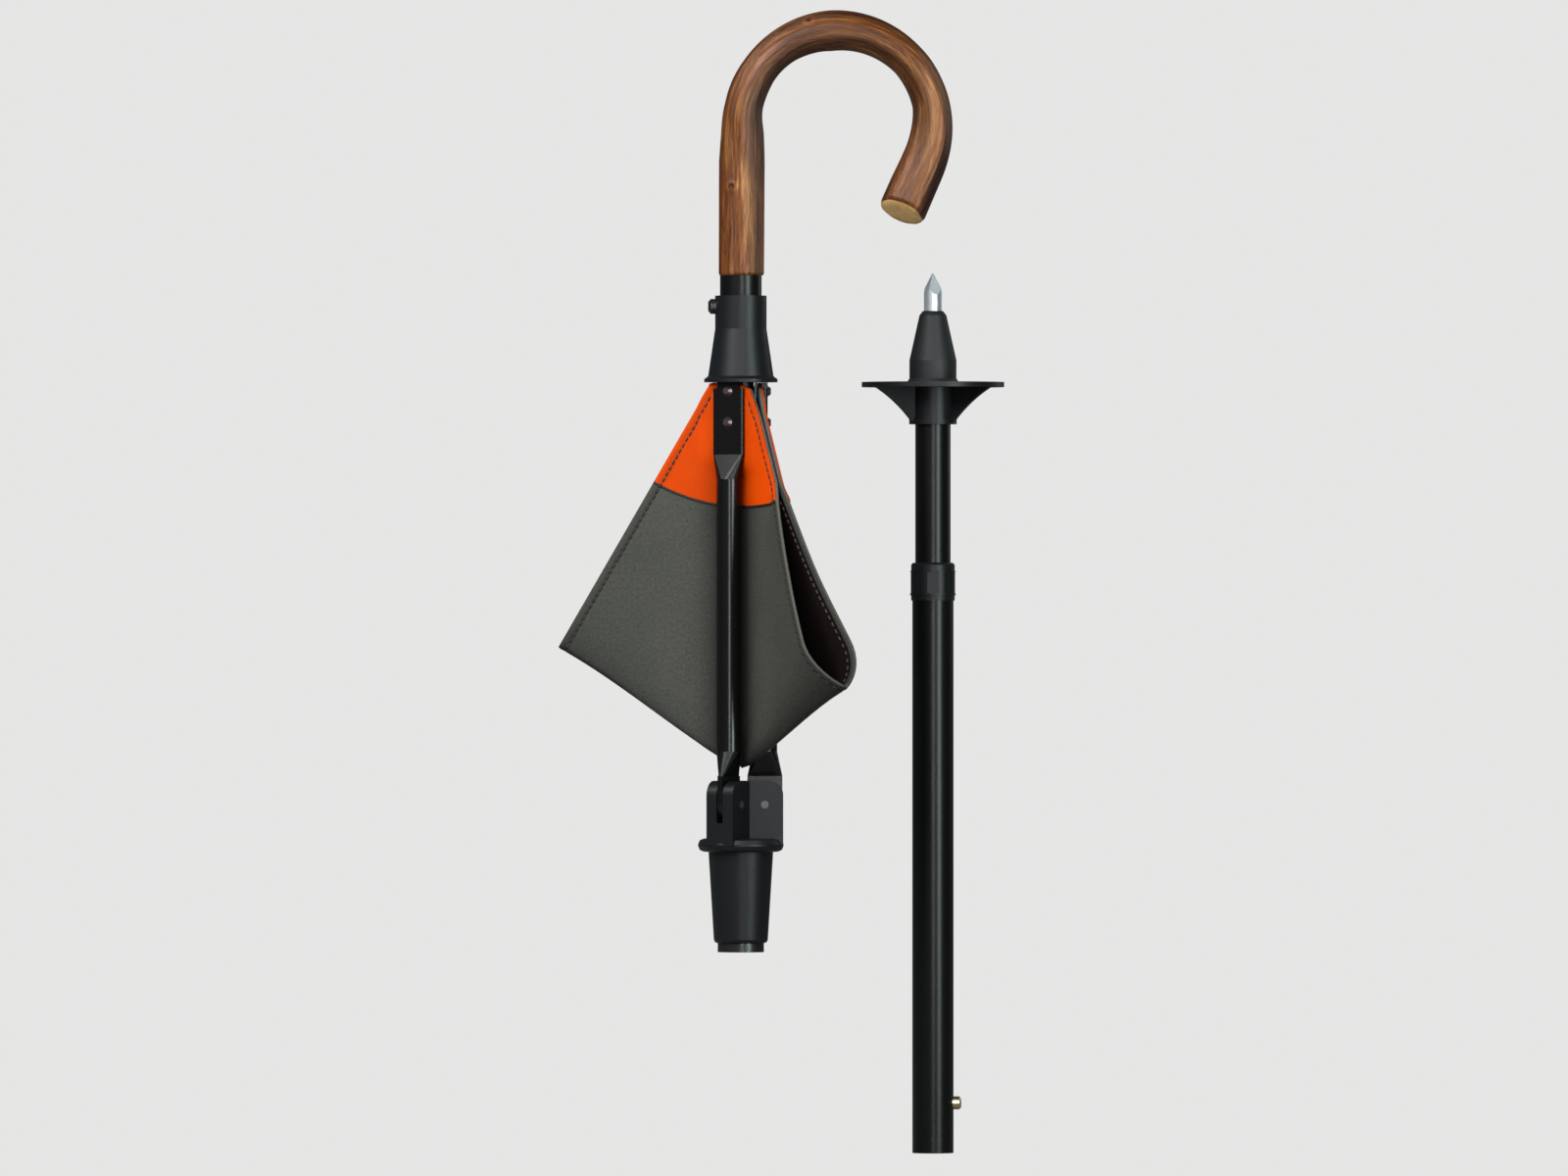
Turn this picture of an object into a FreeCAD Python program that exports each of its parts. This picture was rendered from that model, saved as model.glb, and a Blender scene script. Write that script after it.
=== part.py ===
# Seat stick in two halves: the upper half is a crook handle over a folded three-arm
# leather seat, and the lower half is a telescopic leg with a ground plate and a spike.
# Units are millimetres. +Z points from the leg socket towards the crook, +X towards the
# lower half lying beside it. The origin is the centre of the leg socket's mouth.
import FreeCAD, Part
import math
import os

import Sketcher

Vector = FreeCAD.Vector
Rotation = FreeCAD.Rotation
Placement = FreeCAD.Placement

# Driving dimensions: alias, size in millimetres or degrees
SIZES = {
    # leg socket, liner, sleeve and hub
    "socket_radius": 11.08,
    "socket_depth": 50.0,
    "liner_wall": 1.15,
    "liner_lip": 4.7,
    "sleeve_bottom_radius": 14.3,
    "sleeve_top_radius": 17.1,
    "sleeve_height": 48.3,
    "sleeve_rounding": 1.9,
    "flange_radius": 22.6,
    "flange_height": 7.0,
    "flange_rounding": 3.0,
    "lobe_reach": 22.4,
    "lobe_width": 16.0,
    "lobe_height": 30.4,
    "lobe_rounding": 7.5,
    "slot_clearance": 0.4,
    "pin_radius": 2.0,
    "pin_clearance": 0.05,
    "pivot_above_flange": 18.0,
    # seat arms
    "arm_radius": 6.5,
    "arm_offset": 12.7,
    "arm_flat": 3.0,
    "arm_flat_width": 18.5,
    "blade_height": 15.0,
    "taper_height": 13.0,
    "tip_height": 38.0,
    "tip_gap": 0.3,
    "rivet_radius": 1.6,
    "rivet_head_radius": 2.9,
    "rivet_head_height": 1.7,
    "rivet_drop": 4.5,
    "rivet_spacing": 16.6,
    "backing_thickness": 1.35,
    "backing_width": 11.0,
    "backing_height": 30.0,
    "tip_corner": 3.0,
    # leather seat
    "leather": 2.2,
    "leather_gap": 0.25,
    "wing_rest_height": 106.0,
    "corner_trim": 27.6,
    "wing_thickness": 5.2,
    "loop_start": 14.0,
    "loop_share": 0.125,
    "patch_thickness": 0.8,
    "patch_reach": 66.0,
    # bell, handle tube and crook
    "bell_mouth_height": 301.0,
    "bell_rim_radius": 19.4,
    "bell_rim_height": 3.2,
    "bell_foot_radius": 17.3,
    "bell_mouth_radius": 16.0,
    "bell_cone_height": 25.0,
    "collar_radius": 13.6,
    "collar_height": 17.5,
    "handle_tube_radius": 11.0,
    "handle_tube_wall": 1.5,
    "handle_tube_length": 39.4,
    "handle_tube_show": 10.7,
    "core_radius": 6.9,
    "core_drop": 12.0,
    "core_flange": 3.0,
    "core_spigot": 11.0,
    "knob_radius": 4.0,
    "knob_proud": 3.7,
    "knob_depth": 6.6,
    "knob_drop": 5.7,
    "knob_travel": 3.0,
    "cross_pin_radius": 1.5,
    "cross_pin_drop": 13.7,
    "wood_radius": 12.2,
    "wood_nose_radius": 11.4,
    "wood_spigot": 26.0,
    "crook_straight": 79.0,
    "crook_bend": 50.1,
    "nose_bend": 58.0,
    "nose_turn": 24.0,
    "nose_length": 23.0,
    "nose_slant": 3.6,
    # lower half
    "leg_offset": 102.2,
    "leg_aside": 85.0,
    "leg_end": -108.9,
    "leg_radius": 11.0,
    "leg_wall": 1.5,
    "leg_length": 306.9,
    "leg_cap_depth": 8.0,
    "button_rise": 26.7,
    "button_radius": 3.5,
    "button_proud": 4.1,
    "button_travel": 4.0,
    "spring_thickness": 0.8,
    "spring_width": 7.0,
    "spring_length": 28.0,
    "clamp_radius": 12.2,
    "clamp_below": 12.4,
    "clamp_above": 7.8,
    "clamp_edge": 1.1,
    "clamp_flat": 0.4,
    "clamp_ring_height": 5.0,
    "inner_radius": 9.425,
    "inner_wall": 1.2,
    "inner_length": 281.0,
    "inner_show": 73.8,
    "guide_height": 16.0,
    "plate_radius": 38.0,
    "plate_thickness": 2.7,
    "plate_hub_radius": 11.8,
    "plate_hub_height": 19.8,
    "plate_ring_radius": 12.7,
    "plate_ring_height": 2.8,
    "plate_hole_gap": 0.03,
    "fin_thickness": 2.4,
    "fin_curve": 80.0,
    "ferrule_foot_radius": 13.8,
    "ferrule_foot_height": 2.0,
    "ferrule_radius": 12.55,
    "ferrule_straight": 9.6,
    "ferrule_cone": 24.0,
    "ferrule_nose_radius": 7.2,
    "ferrule_nose_height": 2.3,
    "spike_radius": 4.75,
    "spike_show": 9.0,
    "spike_point": 10.9,
    "spike_root": 18.0,
    "spike_facet_slope": 2.35,
    "running_gap": 0.08,
    "moving_gap": 0.3,
}

EASED = 1.0 - math.sqrt(0.5)   # how far a two-step chamfer's middle stands off an edge
NEAR = 0.3          # soft parts and curved faces of different bodies keep this apart
CUT_PAST = 60.0     # a cutting solid reaches this far past what it cuts
ARM_SIDES = ("right", "left", "front")
ARM_TURNS = {side: 360.0 * k / len(ARM_SIDES) for k, side in enumerate(ARM_SIDES)}
HALF_STEP = 180.0 / len(ARM_SIDES)
WING_TURNS = {"back": ARM_TURNS["right"] + HALF_STEP,
              "side": ARM_TURNS["left"] + HALF_STEP,
              "open": ARM_TURNS["front"] + HALF_STEP}
SECTION_SIDES = 24  # a tapering part of an arm is drawn with this many flat sides
LOOP_SIDES = 10     # flat strips round the open fold of the leather

doc = FreeCAD.newDocument("seat_stick")
sheet = doc.addObject("Spreadsheet::Sheet", "Sizes")


class Size:
    """A length that knows its value and its formula in the sheet."""

    def __init__(self, value, formula):
        self.value = value
        self.formula = formula

    def __add__(self, other):
        other = sized(other)
        return Size(self.value + other.value, "(%s + %s)" % (self.formula, other.formula))

    def __sub__(self, other):
        other = sized(other)
        return Size(self.value - other.value, "(%s - %s)" % (self.formula, other.formula))

    def __mul__(self, other):
        other = sized(other)
        return Size(self.value * other.value, "(%s * %s)" % (self.formula, other.formula))

    def __truediv__(self, other):
        other = sized(other)
        return Size(self.value / other.value, "(%s / %s)" % (self.formula, other.formula))

    def __neg__(self):
        return Size(-self.value, "(-1 * %s)" % self.formula)

    def __radd__(self, other):
        return sized(other) + self

    def __rsub__(self, other):
        return sized(other) - self

    def __rmul__(self, other):
        return sized(other) * self


def sized(number):
    """A plain number as a Size, so that formulas can mix both."""
    return number if isinstance(number, Size) else Size(float(number), "%.6f" % number)


class Sheet:
    """The driving dimensions, read by name from the sheet."""


S = Sheet()
for row, (alias, number) in enumerate(SIZES.items(), start=1):
    sheet.set("A%d" % row, alias)
    sheet.set("B%d" % row, str(number))
    sheet.setAlias("B%d" % row, alias)
    setattr(S, alias, Size(number, "Sizes." + alias))
doc.recompute()


def bind(thing, prop, size):
    """Tie one property of a feature to the sheet."""
    size = sized(size)
    thing.setExpression(prop, size.formula)


def body(label):
    """An empty body whose label is the sub-part's name."""
    made = doc.addObject("PartDesign::Body", label)
    made.Label = label
    return made


def plane_of(owner, role):
    return [f for f in owner.Origin.OriginFeatures if f.Role == role][0]


def sketch(owner, plane, label, lift=0.0):
    """An empty sketch on one of the body's own planes, lifted along its normal."""
    made = owner.newObject("Sketcher::SketchObject", label)
    made.AttachmentSupport = [(plane_of(owner, plane), "")]
    made.MapMode = "FlatFace"
    bind(made, ".AttachmentOffset.Base.z", lift)
    return made


def arc_between(start, end, radius, left):
    """The short arc between two points; left says which side its centre lies on."""
    middle = (start + end) * 0.5
    half = (end - start).Length / 2
    out = Vector(-(end - start).y, (end - start).x, 0).normalize()
    if not left:
        out = out * -1
    centre = middle + out * math.sqrt(radius * radius - half * half)
    rim = middle - centre
    rim.normalize()
    if left:
        return Part.Arc(start, centre + rim * radius, end)
    return Part.Arc(end, centre + rim * radius, start)


def outline(drawn, spots, arcs=None):
    """Draw a closed outline through the spots. arcs gives {index: (radius, left)}."""
    arcs = arcs or {}
    corners = [Vector(sized(x).value, sized(y).value, 0) for x, y in spots]
    count = len(corners)
    ends = []
    for i in range(count):
        a, b = corners[i], corners[(i + 1) % count]
        if i in arcs:
            radius, left = arcs[i]
            drawn.addGeometry(arc_between(a, b, sized(radius).value, left))
        else:
            drawn.addGeometry(Part.LineSegment(a, b))
        ends.append((1, 2) if i not in arcs or arcs[i][1] else (2, 1))
    for i in range(count):
        j = (i + 1) % count
        drawn.addConstraint(Sketcher.Constraint(
            "Coincident", i, ends[i][1], j, ends[j][0]))
    for i, spot in enumerate(spots):
        hold_end(drawn, i, ends[i][0], spot)
    for i, (radius, left) in arcs.items():
        held = drawn.addConstraint(
            Sketcher.Constraint("Radius", i, sized(radius).value))
        drawn.setExpression("Constraints[%d]" % held, sized(radius).formula)
    return drawn


def hold_end(drawn, index, end, spot):
    """Fix the given end of an edge at a spot measured from the origin."""
    for along, kind, axis in ((0, "DistanceX", -2), (1, "DistanceY", -1)):
        size = sized(spot[along])
        if abs(size.value) < 1e-9:
            drawn.addConstraint(Sketcher.Constraint("PointOnObject", index, end, axis))
            continue
        if size.value > 0:
            rule = Sketcher.Constraint(kind, -1, 1, index, end, size.value)
            formula = size.formula
        else:
            rule = Sketcher.Constraint(kind, index, end, -1, 1, -size.value)
            formula = (-size).formula
        held = drawn.addConstraint(rule)
        drawn.setExpression("Constraints[%d]" % held, formula)


def turned(label, spots, arcs=None, at=None):
    """A body turned about its own Z axis from an outline of (radius, height) spots."""
    made = body(label)
    drawn = outline(sketch(made, "XZ_Plane", label + "_outline"), spots, arcs)
    spun = made.newObject("PartDesign::Revolution", label + "_turned")
    spun.Profile = drawn
    spun.ReferenceAxis = (drawn, ["V_Axis"])
    spun.Angle = 360.0
    made.Tip = spun
    if at is not None:
        place(made, at)
    return made


def place(thing, at, turn=0.0):
    """Put a body at a place given by sizes, turned about Z by whole degrees."""
    thing.Placement = Placement(
        Vector(*[sized(v).value for v in at]), Rotation(Vector(0, 0, 1), turn))
    for axis, size in zip("xyz", at):
        bind(thing, ".Placement.Base." + axis, size)


def round_pocket(owner, label, plane, spot, radius, depth, both=False, flip=False):
    """A round hole cut from a plane of the body, through material on one or both sides."""
    doc.recompute()
    before = owner.Shape.Volume
    drawn = sketch(owner, plane, label + "_circle")
    x, y = sized(spot[0]), sized(spot[1])
    drawn.addGeometry(Part.Circle(Vector(x.value, y.value, 0), Vector(0, 0, 1),
                                  sized(radius).value))
    held = drawn.addConstraint(Sketcher.Constraint("Radius", 0, sized(radius).value))
    drawn.setExpression("Constraints[%d]" % held, sized(radius).formula)
    hold_end(drawn, 0, 3, (x, y))
    cut = owner.newObject("PartDesign::Pocket", label)
    cut.Profile = drawn
    cut.Midplane = both
    cut.Reversed = flip
    bind(cut, "Length", depth)
    owner.Tip = cut
    doc.recompute()
    print(label, "takes away", round(before - owner.Shape.Volume, 2), "mm3")
    return cut


def around(owner, label, features, count=3):
    """Repeat features about the body's Z axis."""
    made = owner.newObject("PartDesign::PolarPattern", label)
    made.Originals = features
    made.Axis = ([f for f in owner.Origin.OriginFeatures if f.Role == "Z_Axis"][0], [""])
    made.Angle = 360.0
    made.Occurrences = count
    owner.Tip = made
    return made


def plain(label, shape, at=(0.0, 0.0, 0.0), turn=0.0):
    """A sub-part whose shape is made by Part's own functions from the sheet's sizes."""
    made = doc.addObject("Part::Feature", label)
    made.Label = label
    made.Shape = shape
    made.Placement = Placement(Vector(*at), Rotation(Vector(0, 0, 1), turn))
    return made


# Heights along the upper half, worked out from the sizes above
sleeve_low = S.liner_lip
flange_low = S.liner_lip + S.sleeve_height
flange_top = flange_low + S.flange_height
pivot_height = flange_top + S.pivot_above_flange
lobe_top = flange_top + S.lobe_height
tip_top = S.bell_mouth_height - S.tip_gap
wing_fold = (tip_top - S.wing_rest_height + S.corner_trim) / 2
collar_low = S.bell_mouth_height + S.bell_rim_height + S.bell_cone_height
collar_top = collar_low + S.collar_height
wood_low = collar_top + S.handle_tube_show
handle_tube_low = wood_low - S.handle_tube_length
knob_height = collar_top - S.knob_drop
cross_pin_height = collar_top - S.cross_pin_drop

# Heights along the lower half
leg_top = S.leg_end + S.leg_length
clamp_low = leg_top - S.clamp_below
clamp_top = leg_top + S.clamp_above
plate_low = clamp_top + S.inner_show
plate_top = plate_low + S.plate_hub_height + S.plate_thickness
ferrule_top = (plate_top + S.ferrule_foot_height + S.ferrule_straight
               + S.ferrule_cone + S.ferrule_nose_height)
inner_top = plate_top + S.spike_root
inner_low = inner_top - S.inner_length
leg_at = (S.leg_offset, S.leg_aside, 0.0)


def make_liner():
    """Steel liner of the leg socket; its lip shows below the sleeve."""
    outer = S.socket_radius + S.liner_wall
    made = turned("socket_liner", [
        (S.socket_radius, 0.0), (outer, 0.0),
        (outer, S.socket_depth), (S.socket_radius, S.socket_depth)])
    catch_hole(made, "liner_catch_hole")
    return made


def make_sleeve():
    """Tapered plastic sleeve round the liner, rounded at its lower edge."""
    bore = S.socket_radius + S.liner_wall
    made = turned("socket_sleeve", [
        (bore, sleeve_low),
        (S.sleeve_bottom_radius - S.sleeve_rounding, sleeve_low),
        (S.sleeve_bottom_radius - S.sleeve_rounding * EASED,
         sleeve_low + S.sleeve_rounding * EASED),
        (S.sleeve_bottom_radius, sleeve_low + S.sleeve_rounding),
        (S.sleeve_top_radius, flange_low),
        (bore, flange_low)])
    catch_hole(made, "sleeve_catch_hole")
    return made


def catch_hole(owner, label):
    """The hole at the back that the leg's button snaps into."""
    round_pocket(owner, label, "XZ_Plane", (0.0, S.socket_depth - S.button_rise),
                 S.button_radius + S.running_gap, S.sleeve_top_radius * 2)


def make_hub():
    """Hub with three slotted lobes, each holding the foot of one seat arm."""
    made = body("hub")
    base = outline(sketch(made, "XZ_Plane", "flange_outline"), [
        (0.0, S.socket_depth), (S.socket_radius + S.liner_wall, S.socket_depth),
        (S.socket_radius + S.liner_wall, flange_low),
        (S.flange_radius - S.flange_rounding, flange_low),
        (S.flange_radius - S.flange_rounding * EASED,
         flange_low + S.flange_rounding * EASED),
        (S.flange_radius, flange_low + S.flange_rounding),
        (S.flange_radius, flange_top - S.flange_rounding),
        (S.flange_radius - S.flange_rounding * EASED,
         flange_top - S.flange_rounding * EASED),
        (S.flange_radius - S.flange_rounding, flange_top), (0.0, flange_top)])
    spun = made.newObject("PartDesign::Revolution", "flange")
    spun.Profile = base
    spun.ReferenceAxis = (base, ["V_Axis"])
    spun.Angle = 360.0
    side = outline(sketch(made, "XZ_Plane", "lobe_outline"), [
        (0.0, flange_low + S.flange_height / 2),
        (S.lobe_reach, flange_low + S.flange_height / 2),
        (S.lobe_reach, lobe_top - S.lobe_rounding),
        (S.lobe_reach - S.lobe_rounding, lobe_top), (0.0, lobe_top)],
        {2: (S.lobe_rounding, True)})
    lobe = made.newObject("PartDesign::Pad", "lobe")
    lobe.Profile = side
    lobe.Midplane = True
    bind(lobe, "Length", S.lobe_width)
    made.Tip = lobe
    doc.recompute()
    around(made, "lobes", [lobe])
    doc.recompute()
    reach_in = S.arm_offset - S.arm_flat_width / 2 - S.slot_clearance
    floor = pivot_height - S.arm_flat_width / 2 - S.slot_clearance
    gap = outline(sketch(made, "XZ_Plane", "slot_outline"), [
        (reach_in, floor), (S.lobe_reach + CUT_PAST, floor),
        (S.lobe_reach + CUT_PAST, lobe_top + CUT_PAST), (reach_in, lobe_top + CUT_PAST)])
    slot = made.newObject("PartDesign::Pocket", "slot")
    slot.Profile = gap
    slot.Midplane = True
    bind(slot, "Length", S.arm_flat + S.slot_clearance * 2)
    made.Tip = slot
    doc.recompute()
    around(made, "slots", [slot])
    doc.recompute()
    before = made.Shape.Volume
    hole = round_pocket(made, "pin_hole", "XZ_Plane", (S.arm_offset, pivot_height),
                        S.pin_radius, S.lobe_width + 1.0, both=True)
    around(made, "pin_holes", [hole])
    doc.recompute()
    print("pin holes take", round(before - made.Shape.Volume, 1), "mm3")
    return made


def make_pins():
    """Three pivot pins, one through each lobe of the hub."""
    length = S.lobe_width.value
    pins = []
    for turn in ARM_TURNS.values():
        pin = Part.makeCylinder(
            S.pin_radius.value, length,
            Vector(S.arm_offset.value, -length / 2, pivot_height.value), Vector(0, 1, 0))
        pin.rotate(Vector(0, 0, 0), Vector(0, 0, 1), turn)
        pins.append(pin)
    return plain("pivot_pins", Part.makeCompound(pins))


def stadium(width_u, width_v, u, z):
    """The corners of a flat section with round ends; they match from one to another."""
    r = min(width_u, width_v) / 2
    run_u, run_v = width_u / 2 - r, width_v / 2 - r
    spots = []
    for k in range(SECTION_SIDES):
        t = 2 * math.pi * (k + 0.5) / SECTION_SIDES
        c, s = math.cos(t), math.sin(t)
        spots.append(Vector(u + r * c + math.copysign(run_u, c),
                            r * s + math.copysign(run_v, s), z))
    return spots


def facet(spots):
    """A flat face with the given corners."""
    return Part.Face(Part.makePolygon(list(spots) + [spots[0]]))


def between(low, high):
    """A solid between two flat sections with matching corners, with flat faces only."""
    faces = [facet(low), facet(high)]
    for i in range(len(low)):
        j = (i + 1) % len(low)
        faces += [facet((low[i], low[j], high[j])), facet((low[i], high[j], high[i]))]
    shell = Part.makeShell(faces)
    shell.sewShape()
    made = Part.makeSolid(shell)
    if made.Volume < 0:
        made.reverse()
    return made.removeSplitter()


def arm_shape():
    """A seat arm: a tube flattened one way at its foot and the other way at its tip."""
    u = S.arm_offset.value
    flat, width = S.arm_flat.value, S.arm_flat_width.value
    round_d = S.arm_radius.value * 2
    z_pivot = pivot_height.value
    z_blade = z_pivot + S.blade_height.value
    z_tube = z_blade + S.taper_height.value
    z_top = tip_top.value
    z_tip = z_top - S.tip_height.value
    z_neck = z_tip - S.taper_height.value
    foot = Part.makeCylinder(width / 2, flat, Vector(u, -flat / 2, z_pivot),
                             Vector(0, 1, 0))
    blade = Part.makeBox(width, flat, z_blade - z_pivot,
                         Vector(u - width / 2, -flat / 2, z_pivot))
    low = between(stadium(width, flat, u, z_blade), stadium(round_d, round_d, u, z_tube))
    tube = Part.makeCylinder(round_d / 2, z_neck - z_tube, Vector(u, 0, z_tube))
    high = between(stadium(round_d, round_d, u, z_neck), stadium(flat, width, u, z_tip))
    corner = S.tip_corner.value
    tip = facet(stadium(flat, width, u, z_tip)).extrude(
        Vector(0, 0, z_top - z_tip - corner))
    crown = Part.makeBox(flat, width - 2 * corner, corner,
                         Vector(u - flat / 2, corner - width / 2, z_top - corner))
    shape = foot.fuse([blade, low, tube, high, tip, crown]).removeSplitter()
    hole = Part.makeCylinder(S.pin_radius.value + S.pin_clearance.value, flat * 3,
                             Vector(u, -flat * 1.5, z_pivot), Vector(0, 1, 0))
    return shape.cut([hole] + rivet_holes(S.rivet_radius.value))


def rivet_heights():
    first = tip_top.value - S.rivet_drop.value
    return [first, first - S.rivet_spacing.value]


def rivet_holes(radius):
    """Two radial holes near an arm's tip."""
    return [Part.makeCylinder(radius, S.arm_offset.value * 2, Vector(0, 0, z),
                              Vector(1, 0, 0)) for z in rivet_heights()]


def leather_outer():
    """How far from the axis the leather's outer face lies behind an arm's tip."""
    return S.arm_offset.value - S.arm_flat.value / 2 - S.leather_gap.value


def backing_shape():
    """Small plate inside the leather that the rivets pull against."""
    outer = leather_outer() - S.leather.value - S.leather_gap.value / 2
    thick = S.backing_thickness.value
    width, height = S.backing_width.value, S.backing_height.value
    low = tip_top.value - height
    plate = Part.makeBox(thick, width, height, Vector(outer - thick, -width / 2, low))
    return plate.cut(rivet_holes(S.rivet_radius.value))


def rivets_shape():
    """Two rivets with raised heads through an arm's tip, the leather and the backing plate."""
    face = S.arm_offset.value + S.arm_flat.value / 2
    inside = (leather_outer() - S.leather.value - S.leather_gap.value / 2
              - S.backing_thickness.value)
    head_r, head_h = S.rivet_head_radius.value, S.rivet_head_height.value
    made = []
    for z in rivet_heights():
        shank = Part.makeCylinder(S.rivet_radius.value, face - inside,
                                  Vector(inside, 0, z), Vector(1, 0, 0))
        cap = Part.makeCone(head_r, head_r * 0.55, head_h, Vector(face, 0, z),
                            Vector(1, 0, 0))
        made.append(shank.fuse(cap).removeSplitter())
    return Part.makeCompound(made)


def make_arms():
    """Each arm with its backing plate and rivets, turned to its side of the hub."""
    for side, turn in ARM_TURNS.items():
        plain("arm_" + side, arm_shape(), turn=turn)
        plain("backing_plate_" + side, backing_shape(), turn=turn)
        plain("rivets_" + side, rivets_shape(), turn=turn)


def wing_corners():
    """Fold corner and top corner of a wing, seen from the side."""
    low = S.wing_rest_height.value
    fold = wing_fold.value
    out = Vector(fold * math.cos(math.radians(30)), 0,
                 low + fold * math.sin(math.radians(30)))
    climb = tip_top.value - out.z
    top = Vector(out.x - climb * math.tan(math.radians(30)), 0, tip_top.value)
    return out, top


def flat_wing(thickness):
    """A wing of the seat folded shut: two layers of leather against each other."""
    out, top = wing_corners()
    low = Vector(0, 0, S.wing_rest_height.value)
    corners = [low, out, top, Vector(0, 0, tip_top.value)]
    profile = facet(corners)
    profile.translate(Vector(0, -thickness / 2, 0))
    return profile.extrude(Vector(0, thickness, 0))


def loop_section(distance, thickness, hollow):
    """Teardrop section of the open wing, square to the leather's run from the centre."""
    spread = distance * math.tan(math.radians(30))
    radius = max(S.loop_share.value * distance, thickness * 0.55)
    centre = spread * 0.98 - radius
    half = thickness / 2
    start = -spread * 0.55
    if hollow:
        radius = max(radius - half, 0.05)
        half = 0.02
    run = centre - start
    lean = math.asin(min(0.95, (radius - half) / run))
    touch = (centre - radius * math.sin(lean), radius * math.cos(lean))
    back = start if hollow else -spread
    tilt = math.radians(30)
    rest = S.wing_rest_height.value

    def lay(spot):
        e, q = spot
        s = distance * math.sin(tilt) + e * math.cos(tilt)
        z = rest + distance * math.cos(tilt) - e * math.sin(tilt)
        return Vector(s, q, z)

    top = math.atan2(touch[1], touch[0] - centre)
    rim = [(centre + radius * math.cos(top * (1 - 2 * k / LOOP_SIDES)),
            -radius * math.sin(top * (1 - 2 * k / LOOP_SIDES)))
           for k in range(LOOP_SIDES + 1)]
    tail = [(start, half)] if hollow else [(start, half), (back, half), (back, -half)]
    return [lay(s) for s in [(start, -half)] + rim + tail]


def open_wing(thickness, hollow=True):
    """The wing whose fold stands open as a loop that narrows towards the centre."""
    near, far = S.loop_start.value, wing_fold.value * 1.8
    outer = between(loop_section(near, thickness, False),
                    loop_section(far, thickness, False))
    if hollow:
        outer = outer.cut(between(loop_section(near, thickness, True),
                                  loop_section(far * 1.001, thickness, True)))
    fold = wing_fold.value
    wide = reach_past()
    keep = Part.makeBox(fold + wide, wide * 2, wide, Vector(-wide, -wide, 0))
    keep.Placement = Placement(
        Vector(0, 0, S.wing_rest_height.value), Rotation(Vector(0, 1, 0), -30)
    ).multiply(keep.Placement)
    top = Part.makeBox(wide, wide * 2, tip_top.value, Vector(0, -wide, 0))
    return outer.common(keep).common(top)


def reach_past():
    """A length that reaches past the whole upper half."""
    return (tip_top + CUT_PAST).value


def hexagon(z, flat_out, half):
    """Section round the axis with three long sides facing the arms."""
    spots = []
    for turn in sorted(ARM_TURNS.values()):
        t = math.radians(turn)
        for side in (-half, half):
            spots.append(Vector(flat_out * math.cos(t) - side * math.sin(t),
                                flat_out * math.sin(t) + side * math.cos(t), z))
    return spots


def seat_core(inset):
    """The leather between the wings: it follows the inner side of the arms."""
    tab = leather_outer() - inset
    behind_tube = S.arm_offset.value - S.arm_radius.value - NEAR - inset
    z_top = tip_top.value
    z_tip = z_top - S.tip_height.value
    z_neck = z_tip - S.taper_height.value
    rest = S.wing_rest_height.value
    wide, slim = 12.0 - inset * 0.6, 7.0 - inset * 0.6
    levels = [(z_top, tab, wide), (z_tip, tab, wide), (z_neck, behind_tube, slim),
              (rest + 14.0, behind_tube, slim), (rest - 5.0, behind_tube * 0.6, 3.5)]
    if inset:
        levels = levels[:-1]
    made = None
    for high, low in zip(levels, levels[1:]):
        part = between(hexagon(*low), hexagon(*high))
        made = part if made is None else made.fuse(part)
    return made.removeSplitter()


def wing_set(thickness, hollow=True):
    wings = []
    for name, turn in WING_TURNS.items():
        wing = open_wing(thickness, hollow) if name == "open" else flat_wing(thickness)
        wing.rotate(Vector(0, 0, 0), Vector(0, 0, 1), turn)
        wings.append(wing)
    return wings


def seat_shape():
    """The triangular leather, folded into three wings between the arms."""
    core = seat_core(0.0).fuse(wing_set(S.wing_thickness.value))
    shape = core.cut(seat_core(S.leather.value))
    holes = []
    for turn in ARM_TURNS.values():
        for hole in rivet_holes(S.rivet_radius.value + NEAR):
            hole.rotate(Vector(0, 0, 0), Vector(0, 0, 1), turn)
            holes.append(hole)
    return shape.cut(holes)


def patch_shape(turn, seat):
    """The signal-coloured corner sewn on the outer face of the leather."""
    extra = S.patch_thickness.value
    skin = None
    for wing in wing_set(S.wing_thickness.value + extra * 2, hollow=False):
        skin = wing if skin is None else skin.fuse(wing)
    region = Part.makeSphere(S.patch_reach.value, Vector(0, 0, tip_top.value + 2.0))
    wide = reach_past()
    aside = wide * math.tan(math.radians(HALF_STEP))
    wedge = Part.makePolygon([Vector(0, 0, 0), Vector(wide, -aside, 0),
                              Vector(wide, aside, 0), Vector(0, 0, 0)])
    sector = Part.Face(wedge).extrude(Vector(0, 0, wide))
    sector.rotate(Vector(0, 0, 0), Vector(0, 0, 1), turn)
    core = seat_core(-NEAR)
    arm = Part.makeBox(CUT_PAST, S.arm_flat_width.value + 1.0, wide,
                       Vector(0, -(S.arm_flat_width.value + 1.0) / 2, 0))
    arm.rotate(Vector(0, 0, 0), Vector(0, 0, 1), turn)
    closed = wing_set(S.wing_thickness.value, hollow=False)
    return skin.common(region).common(sector).cut(closed + [core, arm, seat])


def make_seat():
    seat = seat_shape()
    plain("seat_leather", seat)
    for side, turn in ARM_TURNS.items():
        plain("corner_patch_" + side, patch_shape(turn, seat))


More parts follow.
